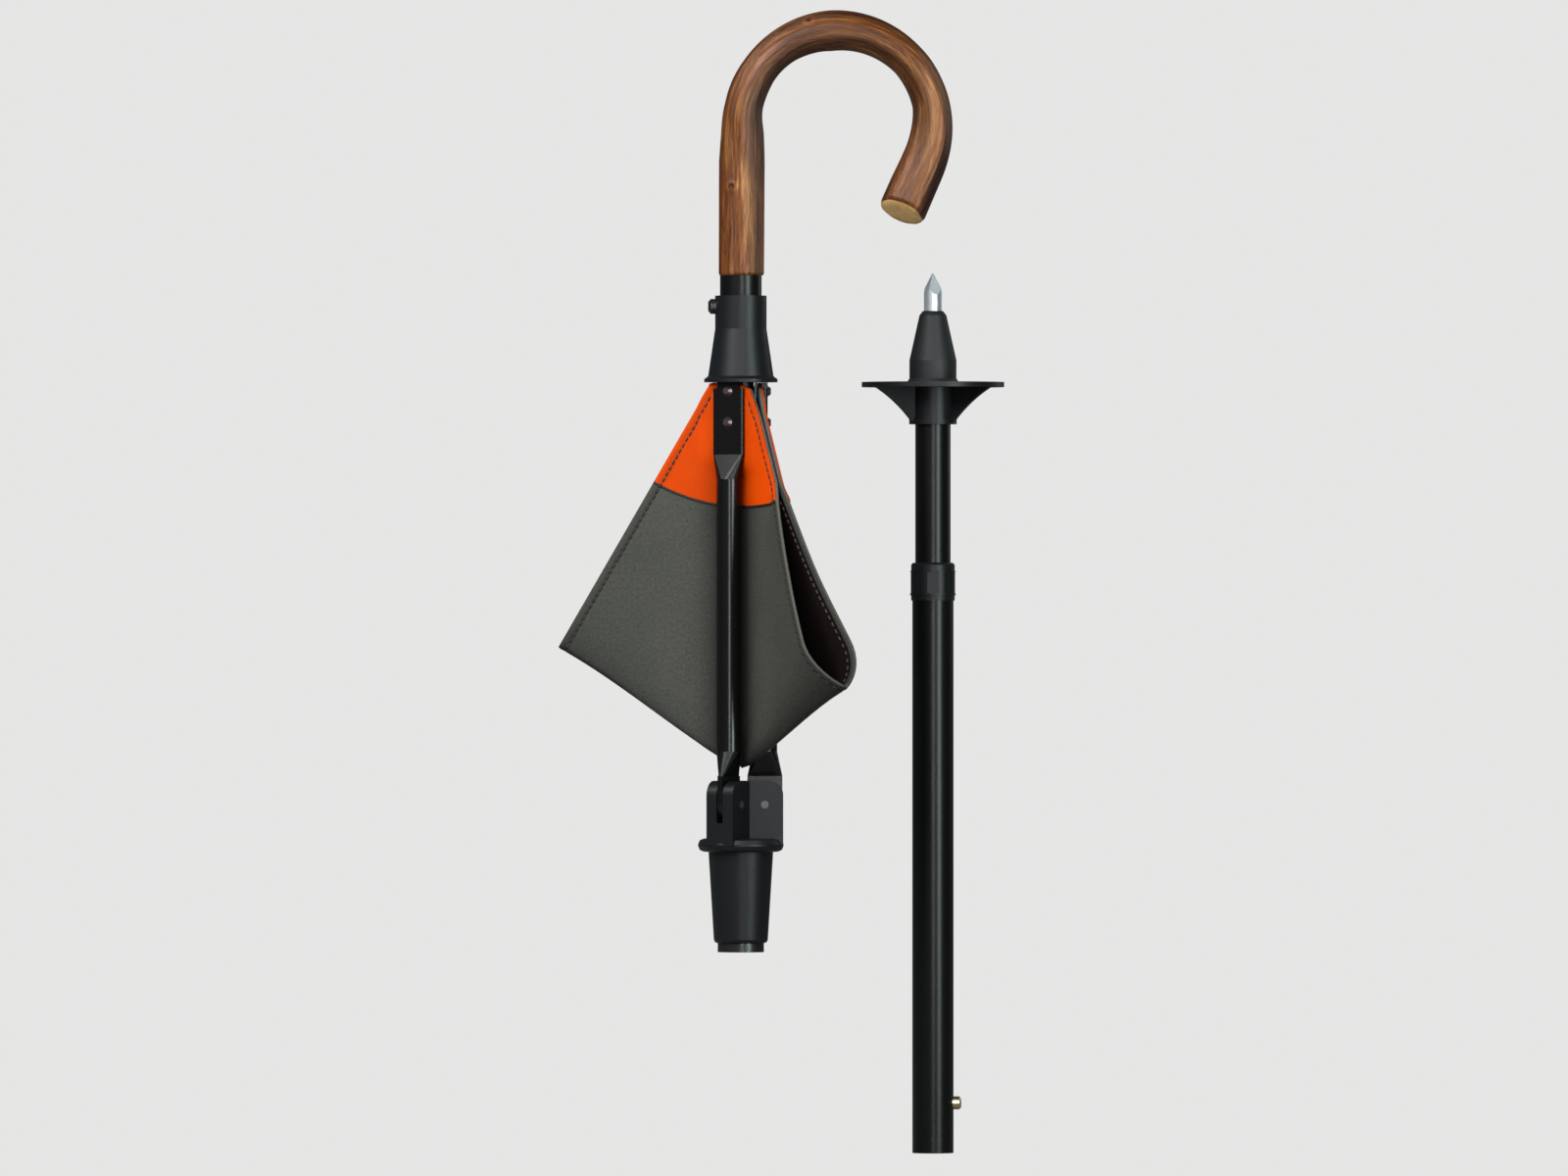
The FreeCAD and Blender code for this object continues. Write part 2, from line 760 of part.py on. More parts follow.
def make_bell():
    """Moulded bell that takes the arms' tips in its mouth and the handle tube above."""
    mouth = S.bell_mouth_height
    bore = S.handle_tube_radius + 0.03
    wall = S.bell_rim_radius - S.bell_mouth_radius
    made = turned("handle_bell", [
        (S.bell_mouth_radius, mouth), (S.bell_rim_radius, mouth),
        (S.bell_rim_radius, mouth + S.bell_rim_height / 2),
        (S.bell_foot_radius, mouth + S.bell_rim_height),
        (S.collar_radius, collar_low), (S.collar_radius, collar_top),
        (bore, collar_top), (bore, collar_low - 3.0),
        (S.bell_mouth_radius - wall / 3, mouth + S.bell_rim_height)])
    round_pocket(made, "knob_hole", "YZ_Plane", (0.0, knob_height),
                 S.knob_radius + S.running_gap, S.collar_radius * 2)
    return made


def make_handle_tube():
    """Short steel tube that joins the bell, the core and the wooden crook."""
    inner = S.handle_tube_radius - S.handle_tube_wall
    made = turned("handle_tube", [
        (inner, handle_tube_low), (S.handle_tube_radius, handle_tube_low),
        (S.handle_tube_radius, wood_low), (inner, wood_low)])
    round_pocket(made, "knob_way", "YZ_Plane", (0.0, knob_height),
                 S.knob_radius + S.running_gap, S.collar_radius * 2)
    round_pocket(made, "cross_pin_holes", "XZ_Plane", (0.0, cross_pin_height),
                 S.cross_pin_radius, S.handle_tube_radius * 4, both=True)
    return made


def make_cross_pin():
    """Steel pin that holds the crook's spigot in the tube; the bell covers its ends."""
    half = S.handle_tube_radius - S.running_gap * 3
    made = turned("handle_pin", [
        (0.0, -half), (S.cross_pin_radius, -half),
        (S.cross_pin_radius, half), (0.0, half)])
    made.Placement = Placement(Vector(0, 0, cross_pin_height.value),
                               Rotation(Vector(1, 0, 0), 90))
    bind(made, ".Placement.Base.z", cross_pin_height)
    return made


def make_core():
    """Core plug in the tube's lower end; its stem centres the three folded arms."""
    flange_low_z = handle_tube_low - S.core_flange
    stem_low = S.bell_mouth_height - S.core_drop
    spigot = S.handle_tube_radius - S.handle_tube_wall - 0.03
    return turned("bell_core", [
        (0.0, stem_low), (S.core_radius - 2.0, stem_low),
        (S.core_radius, stem_low + 3.0), (S.core_radius, flange_low_z),
        (S.handle_tube_radius, flange_low_z), (S.handle_tube_radius, handle_tube_low),
        (spigot, handle_tube_low), (spigot, handle_tube_low + S.core_spigot),
        (0.0, handle_tube_low + S.core_spigot)])


def make_knob():
    """Spring knob in the bell's collar: a round pin with a domed end."""
    outer = S.collar_radius + S.knob_proud
    dome = S.knob_radius * 0.35
    made = turned("handle_knob", [
        (0.0, 0.0), (S.knob_radius, 0.0),
        (S.knob_radius, S.knob_proud + S.knob_depth - dome),
        (S.knob_radius * 0.6, S.knob_proud + S.knob_depth), (0.0, S.knob_proud + S.knob_depth)])
    low = -(outer - S.knob_proud - S.knob_depth)
    made.Placement = Placement(Vector(low.value, 0, knob_height.value),
                               Rotation(Vector(0, 1, 0), -90))
    bind(made, ".Placement.Base.x", low)
    bind(made, ".Placement.Base.z", knob_height)
    return made


def knob_inner():
    """Distance of the knob's inner end from the stick's axis."""
    return S.collar_radius - S.knob_depth


def make_knob_spring():
    """Coil spring behind the knob, drawn as one stack of turns in its pocket."""
    length = knob_inner() - pocket_floor()
    made = turned("knob_spring", [
        (S.knob_radius * 0.5, 0.0), (S.knob_radius * 0.8, 0.0),
        (S.knob_radius * 0.8, length), (S.knob_radius * 0.5, length)])
    made.Placement = Placement(Vector(-pocket_floor().value, 0, knob_height.value),
                               Rotation(Vector(0, 1, 0), -90))
    bind(made, ".Placement.Base.x", -pocket_floor())
    bind(made, ".Placement.Base.z", knob_height)
    return made


def pocket_floor():
    """Distance of the spring pocket's floor from the stick's axis."""
    return knob_inner() - S.knob_travel - 2.0


def wood_ring(radius, spot, tilt, slant=0.0):
    """Section of the crook at a spot; tilt turns its plane about Y, slant cuts it askew."""
    turned_by = Rotation(Vector(0, 1, 0), tilt)
    return [spot + turned_by.multVec(corner + Vector(0, 0, slant * corner.y / radius))
            for corner in stadium(radius * 2, radius * 2, 0.0, 0.0)]


def make_crook():
    """Steam-bent wooden crook with a turned spigot that fits inside the tube."""
    low, radius = wood_low.value, S.wood_radius.value
    bend, nose_r, turn = S.crook_bend.value, S.nose_bend.value, S.nose_turn.value
    knee = low + S.crook_straight.value
    root = wood_ring(radius, Vector(0, 0, low), 0.0)
    knee_ring = wood_ring(radius, Vector(0, 0, knee), 0.0)
    shaft = facet(root).extrude(Vector(0, 0, knee - low))
    half_turn = facet(knee_ring).revolve(Vector(bend, 0, knee), Vector(0, 1, 0), 180.0)
    far_ring = wood_ring(radius, Vector(2 * bend, 0, knee), 180.0)
    centre = Vector(2 * bend - nose_r, 0, knee)
    close_in = facet(far_ring).revolve(centre, Vector(0, 1, 0), turn)
    full = math.radians(turn)
    end = centre + Vector(nose_r * math.cos(full), 0, -nose_r * math.sin(full))
    away = Vector(-math.sin(full), 0, -math.cos(full))
    nose = between(wood_ring(radius, end, 180.0 + turn),
                   wood_ring(S.wood_nose_radius.value, end + away * S.nose_length.value,
                             180.0 + turn, S.nose_slant.value))
    spigot_r = S.handle_tube_radius.value - S.handle_tube_wall.value - 0.03
    spigot = Part.makeCylinder(spigot_r, S.wood_spigot.value,
                               Vector(0, 0, low - S.wood_spigot.value))
    pocket = Part.makeCylinder(S.knob_radius.value + 0.2, S.handle_tube_radius.value * 2,
                               Vector(-pocket_floor().value, 0, knob_height.value),
                               Vector(-1, 0, 0))
    reach = S.handle_tube_radius.value * 2
    pin_way = Part.makeCylinder(S.cross_pin_radius.value, reach * 2,
                                Vector(0, -reach, cross_pin_height.value),
                                Vector(0, 1, 0))
    shape = shaft.fuse([half_turn, close_in, nose, spigot]).cut([pocket, pin_way])
    return plain("crook", shape)


def beside():
    """Where the lower half's own axis stands."""
    return (S.leg_offset.value, S.leg_aside.value, 0.0)


def make_leg_tube():
    """Outer tube of the leg, with the button's hole near its plug end."""
    inner = S.leg_radius - S.leg_wall
    made = turned("leg_tube", [
        (inner, S.leg_end), (S.leg_radius, S.leg_end),
        (S.leg_radius, leg_top), (inner, leg_top)])
    round_pocket(made, "button_hole", "YZ_Plane", (0.0, S.leg_end + S.button_rise),
                 S.button_radius + S.running_gap, S.leg_radius * 2, flip=True)
    place(made, leg_at)
    return made


def make_leg_cap():
    """Plastic plug that closes the tube's plug end."""
    return turned("leg_end_plug", [
        (0.0, S.leg_end), (S.leg_radius - S.leg_wall, S.leg_end),
        (S.leg_radius - S.leg_wall, S.leg_end + S.leg_cap_depth),
        (0.0, S.leg_end + S.leg_cap_depth)], at=leg_at)


def make_leg_button():
    """Brass button that snaps into the socket; a shoulder keeps it in the tube."""
    length = S.button_proud + S.leg_wall + 1.5
    dome = S.button_radius * 0.3
    made = turned("leg_button", [
        (0.0, 0.0), (S.button_radius, 0.0), (S.button_radius, length - dome),
        (S.button_radius * 0.65, length), (0.0, length)])
    base = S.leg_offset + S.leg_radius + S.button_proud - length
    rise = S.leg_end + S.button_rise
    made.Placement = Placement(Vector(base.value, S.leg_aside.value, rise.value),
                               Rotation(Vector(0, 1, 0), 90))
    bind(made, ".Placement.Base.x", base)
    bind(made, ".Placement.Base.y", S.leg_aside)
    bind(made, ".Placement.Base.z", rise)
    return made


def make_leg_spring():
    """Flat spring bent like a hairpin; one leg carries the button."""
    thick, width = S.spring_thickness.value, S.spring_width.value
    inner_wall = S.leg_radius.value - S.leg_wall.value
    right = S.leg_radius.value - S.leg_wall.value - 1.5
    left = -math.sqrt(inner_wall ** 2 - (width / 2) ** 2) + 0.1
    low = S.leg_end.value + S.button_rise.value - S.button_radius.value - 1.0
    high = low + S.spring_length.value
    bend = (right - left) / 2
    middle = Vector((right + left) / 2, -width / 2, high)
    outer = Part.makeCylinder(bend, width, middle, Vector(0, 1, 0))
    inner = Part.makeCylinder(bend - thick, width, middle, Vector(0, 1, 0))
    upper = Part.makeBox(bend * 4, width, bend * 2,
                         Vector(middle.x - bend * 2, -width / 2, high))
    bow = outer.cut(inner).common(upper)
    legs = [Part.makeBox(thick, width, high - low, Vector(x, -width / 2, low))
            for x in (left, right - thick)]
    shape = bow.fuse(legs).removeSplitter()
    return plain("leg_button_spring", shape, at=beside())


def make_clamp():
    """Twist collar over the tube's upper end, and the split ring that it squeezes."""
    bore_low = S.leg_radius + S.running_gap
    bore_high = S.inner_radius + S.moving_gap
    ring_top = leg_top + S.clamp_ring_height + 0.2
    edge = S.clamp_edge
    collar = turned("clamp_collar", [
        (bore_low, clamp_low), (S.clamp_radius - edge / 2, clamp_low),
        (S.clamp_radius - edge / 2, clamp_low + edge * 2.5),
        (S.clamp_radius, clamp_low + edge * 2.5),
        (S.clamp_radius, clamp_top - edge * 4),
        (S.clamp_radius - edge / 2, clamp_top - edge * 4),
        (S.clamp_radius - edge / 2, clamp_top - edge),
        (S.clamp_radius - edge * 1.5, clamp_top), (bore_high, clamp_top),
        (bore_high, ring_top), (bore_low, ring_top)])
    face = outline(sketch(collar, "XY_Plane", "flat_outline", clamp_low + edge * 3.5), [
        (S.clamp_radius - S.clamp_flat, -S.clamp_radius), (S.clamp_radius * 2, -S.clamp_radius),
        (S.clamp_radius * 2, S.clamp_radius), (S.clamp_radius - S.clamp_flat, S.clamp_radius)])
    flat = collar.newObject("PartDesign::Pocket", "flat")
    flat.Profile = face
    flat.Reversed = True
    bind(flat, "Length", clamp_top - clamp_low - edge * 8)
    collar.Tip = flat
    doc.recompute()
    around(collar, "flats", [flat], 8)
    doc.recompute()
    place(collar, leg_at)
    ring = turned("clamp_ring", [
        (S.inner_radius + S.running_gap, leg_top), (S.leg_radius - 0.2, leg_top),
        (S.leg_radius - 0.2, leg_top + S.clamp_ring_height),
        (S.inner_radius + S.running_gap, leg_top + S.clamp_ring_height)])
    slit = outline(sketch(ring, "XZ_Plane", "slit_outline"), [
        (0.75, leg_top - 1.0), (0.75, leg_top + S.clamp_ring_height + 1.0),
        (-0.75, leg_top + S.clamp_ring_height + 1.0), (-0.75, leg_top - 1.0)])
    cut = ring.newObject("PartDesign::Pocket", "slit")
    cut.Profile = slit
    bind(cut, "Length", S.leg_radius * 2)
    ring.Tip = cut
    place(ring, leg_at)


def make_inner_tube():
    """Inner tube of the leg and the plastic guide at its hidden end."""
    bore = S.inner_radius - S.inner_wall
    turned("inner_tube", [
        (bore, inner_low), (S.inner_radius, inner_low),
        (S.inner_radius, inner_top), (bore, inner_top)], at=leg_at)
    turned("inner_tube_guide", [
        (0.0, inner_low - 3.0), (S.inner_radius, inner_low - 3.0),
        (S.inner_radius, inner_low), (bore, inner_low),
        (bore, inner_low - 3.0 + S.guide_height),
        (0.0, inner_low - 3.0 + S.guide_height)], at=leg_at)


def make_plate():
    """Ground plate: a flat disc with a hub and three curved fins behind it."""
    bore = S.inner_radius + S.plate_hole_gap
    disc_low = plate_low + S.plate_hub_height
    made = turned("ground_plate", [
        (bore, plate_low), (S.plate_ring_radius, plate_low),
        (S.plate_ring_radius, plate_low + S.plate_ring_height),
        (S.plate_hub_radius, plate_low + S.plate_ring_height),
        (S.plate_hub_radius, disc_low), (S.plate_radius, disc_low),
        (S.plate_radius, plate_top), (bore, plate_top)])
    inside = S.plate_hub_radius - 1.0
    side = outline(sketch(made, "XZ_Plane", "fin_outline"), [
        (inside, plate_low + S.plate_ring_height / 2),
        (S.plate_ring_radius + 0.3, plate_low + S.plate_ring_height / 2),
        (S.plate_radius - 1.5, disc_low + 0.5), (inside, disc_low + 0.5)],
        {1: (S.fin_curve, False)})
    fin = made.newObject("PartDesign::Pad", "fin")
    fin.Profile = side
    fin.Midplane = True
    bind(fin, "Length", S.fin_thickness)
    made.Tip = fin
    doc.recompute()
    around(made, "fins", [fin])
    doc.recompute()
    place(made, leg_at, -30.0)
    return made


def make_ferrule():
    """Rubber ferrule: a foot, a straight band and a long cone round the spike."""
    bore = S.inner_radius + S.plate_hole_gap
    band_low = plate_top + S.ferrule_foot_height
    band_top = band_low + S.ferrule_straight
    cone_top = band_top + S.ferrule_cone
    return turned("ferrule", [
        (bore, plate_top), (S.ferrule_foot_radius, plate_top),
        (S.ferrule_radius, band_low), (S.ferrule_radius, band_top),
        (S.ferrule_nose_radius, cone_top),
        (S.spike_radius + 0.6, cone_top + S.ferrule_nose_height),
        (S.spike_radius + 0.02, cone_top + S.ferrule_nose_height),
        (S.spike_radius + 0.02, inner_top + 0.2), (bore, inner_top + 0.2)], at=leg_at)


def make_spike():
    """Steel spike: a round pin ground to a four-sided point."""
    radius = S.spike_radius.value
    low = inner_top.value + 0.4
    shoulder = ferrule_top.value + S.spike_show.value
    apex = shoulder + S.spike_point.value
    pin = Part.makeCylinder(radius, apex - low, Vector(0, 0, low))
    half = radius * 1.02
    reach = half * S.spike_facet_slope.value
    square = [Vector(x * half, y * half, apex - reach - 0.0) for x, y in
              ((1, 1), (-1, 1), (-1, -1), (1, -1))]
    blunt = 0.35
    small = [Vector(x * blunt, y * blunt, apex) for x, y in
             ((1, 1), (-1, 1), (-1, -1), (1, -1))]
    point = Part.makeLoft([Part.makePolygon(square + [square[0]]),
                           Part.makePolygon(small + [small[0]])], True, True)
    stock = Part.makeBox(half * 2, half * 2, apex - reach - low,
                         Vector(-half, -half, low))
    shape = pin.common(stock.fuse(point)).removeSplitter()
    return plain("spike", shape, at=beside(), turn=20.0)


def build():
    make_liner()
    make_sleeve()
    make_hub()
    make_pins()
    make_arms()
    make_seat()
    make_bell()
    make_handle_tube()
    make_cross_pin()
    make_core()
    make_knob()
    make_knob_spring()
    make_crook()
    make_leg_tube()
    make_leg_cap()
    make_leg_button()
    make_leg_spring()
    make_clamp()
    make_inner_tube()
    make_plate()
    make_ferrule()
    make_spike()
    doc.recompute()


def check_and_write():
    """Stop on any failed feature or bad shape, then write one file for each sub-part."""
    for thing in doc.Objects:
        if {"Invalid", "Error"} & set(thing.State):
            raise RuntimeError("feature failed: %s %s" % (thing.Name, thing.State))
    parts = [o for o in doc.Objects
             if o.TypeId in ("PartDesign::Body", "Part::Feature")]
    for part in parts:
        if part.Shape.isNull() or not part.Shape.isValid():
            raise RuntimeError("bad shape: " + part.Label)
    os.makedirs("parts", exist_ok=True)
    for part in parts:
        part.Shape.exportStep("parts/%s.step" % part.Label)
        box = part.Shape.BoundBox
        print("%-22s solids %d volume %9.1f  z %7.1f to %7.1f" % (
            part.Label, len(part.Shape.Solids), part.Shape.Volume, box.ZMin, box.ZMax))


build()
check_and_write()
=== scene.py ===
# %% [markdown]
# # A shooting stick in two halves
# A shooting stick is a walking stick that unfolds into a small seat. The upper half has a
# wooden crook, three thin arms and a leather seat folded between them. The lower half is a
# telescopic leg with a ground plate and a steel spike. The hard parts come from the CAD
# frame at their true places, so this script only dresses them. It models the leather, the
# stitching, the bent wood and one small spring anew, because those are soft, grown or
# springy forms.

# %% Load the frame
import math

import bmesh
import bpy
import numpy as np
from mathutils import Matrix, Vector


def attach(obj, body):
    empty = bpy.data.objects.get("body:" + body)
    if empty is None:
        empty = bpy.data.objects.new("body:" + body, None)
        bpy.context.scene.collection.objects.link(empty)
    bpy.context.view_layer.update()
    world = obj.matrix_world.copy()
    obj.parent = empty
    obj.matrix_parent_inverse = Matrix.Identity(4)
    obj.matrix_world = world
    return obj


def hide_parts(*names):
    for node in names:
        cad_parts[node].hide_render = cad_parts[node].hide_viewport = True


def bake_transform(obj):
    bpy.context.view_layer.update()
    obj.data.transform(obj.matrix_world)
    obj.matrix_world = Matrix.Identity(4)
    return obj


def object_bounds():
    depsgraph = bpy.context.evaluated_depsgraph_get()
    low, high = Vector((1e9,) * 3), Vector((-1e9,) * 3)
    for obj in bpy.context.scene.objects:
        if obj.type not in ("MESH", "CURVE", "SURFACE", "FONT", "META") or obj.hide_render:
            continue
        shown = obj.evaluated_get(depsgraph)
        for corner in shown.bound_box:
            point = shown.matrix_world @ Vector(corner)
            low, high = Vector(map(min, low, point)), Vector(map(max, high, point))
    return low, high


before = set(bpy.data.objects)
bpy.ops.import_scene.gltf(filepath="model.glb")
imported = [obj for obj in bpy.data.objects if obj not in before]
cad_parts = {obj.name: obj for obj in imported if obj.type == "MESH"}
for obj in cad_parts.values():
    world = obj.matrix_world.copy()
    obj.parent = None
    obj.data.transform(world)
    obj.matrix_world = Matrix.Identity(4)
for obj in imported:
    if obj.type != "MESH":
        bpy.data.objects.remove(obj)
cad_low, cad_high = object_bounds()
MM = 0.001
print("CAD box", [round(v, 4) for v in cad_low], [round(v, 4) for v in cad_high])

# %% [markdown]
# ## Camera
# The photograph looks at the two halves straight from the front, from far away, so that
# upright edges stay upright. A long lens at nine metres does the same. Its field of view
# covers 0.828 m, the width that the photograph's frame has at the stick.

# %% Camera
FRAME_WIDTH = 0.8282
FRAME_CENTRE = (0.0228, 0.1923)
CAMERA_DISTANCE = 9.0


def add_object(name, data):
    """Put a new object into the scene."""
    made = bpy.data.objects.new(name, data)
    bpy.context.collection.objects.link(made)
    return made


camera_data = bpy.data.cameras.new("camera")
camera_data.sensor_width = 36.0
camera_data.lens = camera_data.sensor_width * CAMERA_DISTANCE / FRAME_WIDTH
camera_data.clip_start, camera_data.clip_end = 0.1, 100.0
camera = add_object("camera", camera_data)
camera.location = (FRAME_CENTRE[0], -CAMERA_DISTANCE, FRAME_CENTRE[1])
camera.rotation_euler = (math.radians(90), 0, 0)
bpy.context.scene.camera = camera
bpy.context.scene.view_settings.view_transform = "Standard"
print("lens", round(camera_data.lens, 1), "mm")

# %% [markdown]
# ## World and floor
# The background is pale paper. The world shows that grey to the camera and gives an even
# light, but it is dark in reflections, as black cards beside the stick would be, so that
# black pieces stay black. The floor is paper too: the camera sees the same grey there,
# while the floor lights the stick from below like a duller sheet.

# %% Pale world
PALE_GREY = (0.79, 0.79, 0.785, 1.0)
WORLD_LIGHT, WORLD_MIRRORED = 0.36, 0.10    # strength as light and in reflections


def node_of(tree, kind, **values):
    """Add a node and set its named inputs or properties."""
    made = tree.nodes.new(kind)
    for key, value in values.items():
        if key in made.inputs:
            made.inputs[key].default_value = value
        else:
            setattr(made, key, value)
    return made


def pick(tree, factor, plain, special):
    """Mix two shaders by what kind of ray looks at them."""
    mix = node_of(tree, "ShaderNodeMixShader")
    for place, source in enumerate((factor, plain, special)):
        tree.links.new(source, mix.inputs[place])
    return mix.outputs[0]


def pale_world():
    """A world that is pale to the camera, a soft light, and dark in reflections."""
    world = bpy.data.worlds.new("studio")
    bpy.context.scene.world = world
    world.use_nodes = True
    tree = world.node_tree
    tree.nodes.clear()
    seen = node_of(tree, "ShaderNodeBackground", Color=PALE_GREY, Strength=1.0)
    light = node_of(tree, "ShaderNodeBackground", Color=(0.95, 0.97, 1.0, 1),
                    Strength=WORLD_LIGHT)
    mirrored = node_of(tree, "ShaderNodeBackground", Color=(0.9, 0.96, 1.0, 1),
                       Strength=WORLD_MIRRORED)
    ray = node_of(tree, "ShaderNodeLightPath")
    unseen = pick(tree, ray.outputs["Is Glossy Ray"], light.outputs[0], mirrored.outputs[0])
    shown = pick(tree, ray.outputs["Is Camera Ray"], unseen, seen.outputs[0])
    out = node_of(tree, "ShaderNodeOutputWorld")
    tree.links.new(shown, out.inputs[0])
    return world


print("world", pale_world().name)

# %% Floor
FLOOR_RADIUS = 1.6
FLOOR_CENTRE = (0.05, 0)
FLOOR_GAP = 0.0005      # the floor lies this far below the leg's end, m


def floor_paper():
    """Pale paper that lights the stick from below and looks like the background."""
    paper = bpy.data.materials.new("floor_paper")
    paper.use_nodes = True
    tree = paper.node_tree
    tree.nodes.clear()
    own = node_of(tree, "ShaderNodeEmission", Color=PALE_GREY, Strength=1.0)
    lit = node_of(tree, "ShaderNodeBsdfDiffuse", Color=(0.35, 0.35, 0.35, 1))
    ray = node_of(tree, "ShaderNodeLightPath")
    shown = pick(tree, ray.outputs["Is Camera Ray"], lit.outputs[0], own.outputs[0])
    out = node_of(tree, "ShaderNodeOutputMaterial")
    tree.links.new(shown, out.inputs["Surface"])
    return paper


def floor_disc():
    """A wide pale floor under the leg."""
    mesh = bpy.data.meshes.new("floor")
    shape = bmesh.new()
    bmesh.ops.create_circle(shape, cap_ends=True, segments=96, radius=FLOOR_RADIUS)
    shape.to_mesh(mesh)
    shape.free()
    floor = add_object("floor", mesh)
    floor.location = (*FLOOR_CENTRE, cad_low[2] - FLOOR_GAP)
    mesh.materials.append(floor_paper())
    return floor


print("floor at", round(floor_disc().location.z, 4), "m")

# %% [markdown]
# ## Lamps
# Black tubes only show their shape through what they reflect. One big soft lamp lights the
# front from the left, and a faint one outlines the stick from behind. Three more only make
# reflections: a tall one to the right draws the soft bright band that runs down the leg, a
# narrow one before the stick draws the thin line on each arm, and a small high one puts a
# gloss on the crook's bend.

# %% Lamps
AIM = (0.05, 0.0, 0.19)
BEND_AIM = (0.02, 0, 0.46)


def soft_lamp(name, place, aim, width, height, power, colour=(1, 1, 1)):
    """A rectangular lamp that faces a point of the stick."""
    data = bpy.data.lights.new(name, "AREA")
    data.shape = "RECTANGLE"
    data.size, data.size_y = width, height
    data.energy = power
    data.color = colour
    lamp = add_object(name, data)
    lamp.location = place
    lamp.visible_camera = False
    lamp.rotation_euler = (Vector(aim) - Vector(place)).to_track_quat("-Z", "Y").to_euler()
    return lamp


soft_lamp("key", (-0.75, -1.25, 1.15), AIM, 1.2, 1.0, 25)
soft_lamp("rim", (1.1, 0.9, 0.7), AIM, 0.5, 1.0, 1.5)
for lamp in (soft_lamp("line", (0.16, -1.30, 0.20), AIM, 0.12, 1.7, 11),
             soft_lamp("strip", (0.87, -1.02, 0.20), AIM, 0.30, 1.7, 26, (0.86, 1, 0.98)),
             soft_lamp("bend", (-1.0, -0.8, 1.45), BEND_AIM, 0.35, 0.35, 22)):
    lamp.visible_diffuse = False

# %% [markdown]
# ## Plain finishes
# Moulded plastic, coated tube, rubber and steel differ mostly in how rough they are, so one
# function makes them all. It varies the colour and the roughness with soft noise and adds
# fine bumps. The numbers that stay the same all over sit on the shader's own sockets.

# %% Steps that all finishes share
def new_material(name, values):
    """A material with its node tree and its shader, whose sockets get plain values."""
    made = bpy.data.materials.new(name)
    made.use_nodes = True
    shader = made.node_tree.nodes["Principled BSDF"]
    for socket, value in values.items():
        shader.inputs[socket].default_value = value
    return made, made.node_tree, shader


def noise_of(tree, place, scale, detail, roughness, distortion=0.0):
    """Soft noise over some coordinates."""
    noise = node_of(tree, "ShaderNodeTexNoise", Scale=scale, Detail=detail,
                    Roughness=roughness, Distortion=distortion)
    tree.links.new(place, noise.inputs["Vector"])
    return noise.outputs["Fac"]


def stretched(tree, place, scale):
    """Coordinates drawn out or squeezed along each axis."""
    mapping = node_of(tree, "ShaderNodeMapping", Scale=scale)
    tree.links.new(place, mapping.inputs["Vector"])
    return mapping.outputs[0]


def remap(tree, value, to, start=(0.0, 1.0)):
    """Stretch a value from one range to another."""
    made = node_of(tree, "ShaderNodeMapRange")
    made.inputs["From Min"].default_value, made.inputs["From Max"].default_value = start
    made.inputs["To Min"].default_value, made.inputs["To Max"].default_value = to
    tree.links.new(value, made.inputs["Value"])
    return made.outputs["Result"]


def colour_mix(tree, factor, first, second):
    """A colour between two, picked by a factor."""
    made = node_of(tree, "ShaderNodeMix", data_type="RGBA", A=(*first, 1.0),
                   B=(*second, 1.0))
    tree.links.new(factor, made.inputs["Factor"])
    return made.outputs["Result"]


def bump_on(tree, shader, height, strength, distance):
    """Raise fine bumps on a shader."""
    bumps = node_of(tree, "ShaderNodeBump", Strength=strength, Distance=distance)
    tree.links.new(height, bumps.inputs["Height"])
    tree.links.new(bumps.outputs["Normal"], shader.inputs["Normal"])


print("steps for noise, stretching, ranges, colours and bumps")

# %% Finishes made with noise
PATCHES = (60.0, 3.0, 0.6)      # scale, detail and roughness of the soft patches
GRAIN_BUMP = 0.001              # height of the grain at full strength, m


def finish_material(name, colour, roughness, grain, metal=0.0, bump=0.05, patchy=0.25,
                    shine=0.5, stretch=(1, 1, 1), worn=0.0, spread=0.08):
    """A procedural finish: base colour with soft patches, fine grain and a bump."""
    made, tree, shader = new_material(name, {"Metallic": metal, "Specular IOR Level": shine})
    own = node_of(tree, "ShaderNodeTexCoord").outputs["Object"]
    place = stretched(tree, own, stretch)
    broad = noise_of(tree, place, *PATCHES)
    fine = noise_of(tree, place, grain, 4.0, 0.65)
    dark = [c * (1 - patchy) for c in colour]
    light = [min(1.0, c * (1 + patchy) + worn) for c in colour]
    tree.links.new(colour_mix(tree, broad, dark, light), shader.inputs["Base Color"])
    ends = max(0.02, roughness - spread), min(1.0, roughness + spread)
    tree.links.new(remap(tree, fine, ends), shader.inputs["Roughness"])
    bump_on(tree, shader, fine, bump, GRAIN_BUMP)
    return made


moulded = finish_material("moulded_black", (0.007, 0.0092, 0.011), 0.40, 1400, bump=0.08,
                          worn=0.002, shine=0.22)
coated = finish_material("coated_tube", (0.0035, 0.004, 0.004), 0.30, 300, bump=0.0,
                         shine=0.22, stretch=(1, 1, 0.15), spread=0.02)
arm_coat = finish_material("coated_arm", (0.005, 0.005, 0.0055), 0.24, 300, bump=0.0,
                           shine=0.3, stretch=(1, 1, 0.4), spread=0.02)
rubbery = finish_material("ferrule_rubber", (0.009, 0.0105, 0.012), 0.55, 1100, bump=0.10,
                          worn=0.003, shine=0.35)
ground_steel = finish_material("ground_steel", (0.62, 0.68, 0.70), 0.34, 1600, metal=0.6,
                               stretch=(1, 1, 0.2))
pin_steel = finish_material("pin_steel", (0.085, 0.09, 0.092), 0.5, 1600, metal=0.5)
dark_metal = finish_material("dark_metal", (0.020, 0.020, 0.021), 0.30, 1200, metal=0.3)
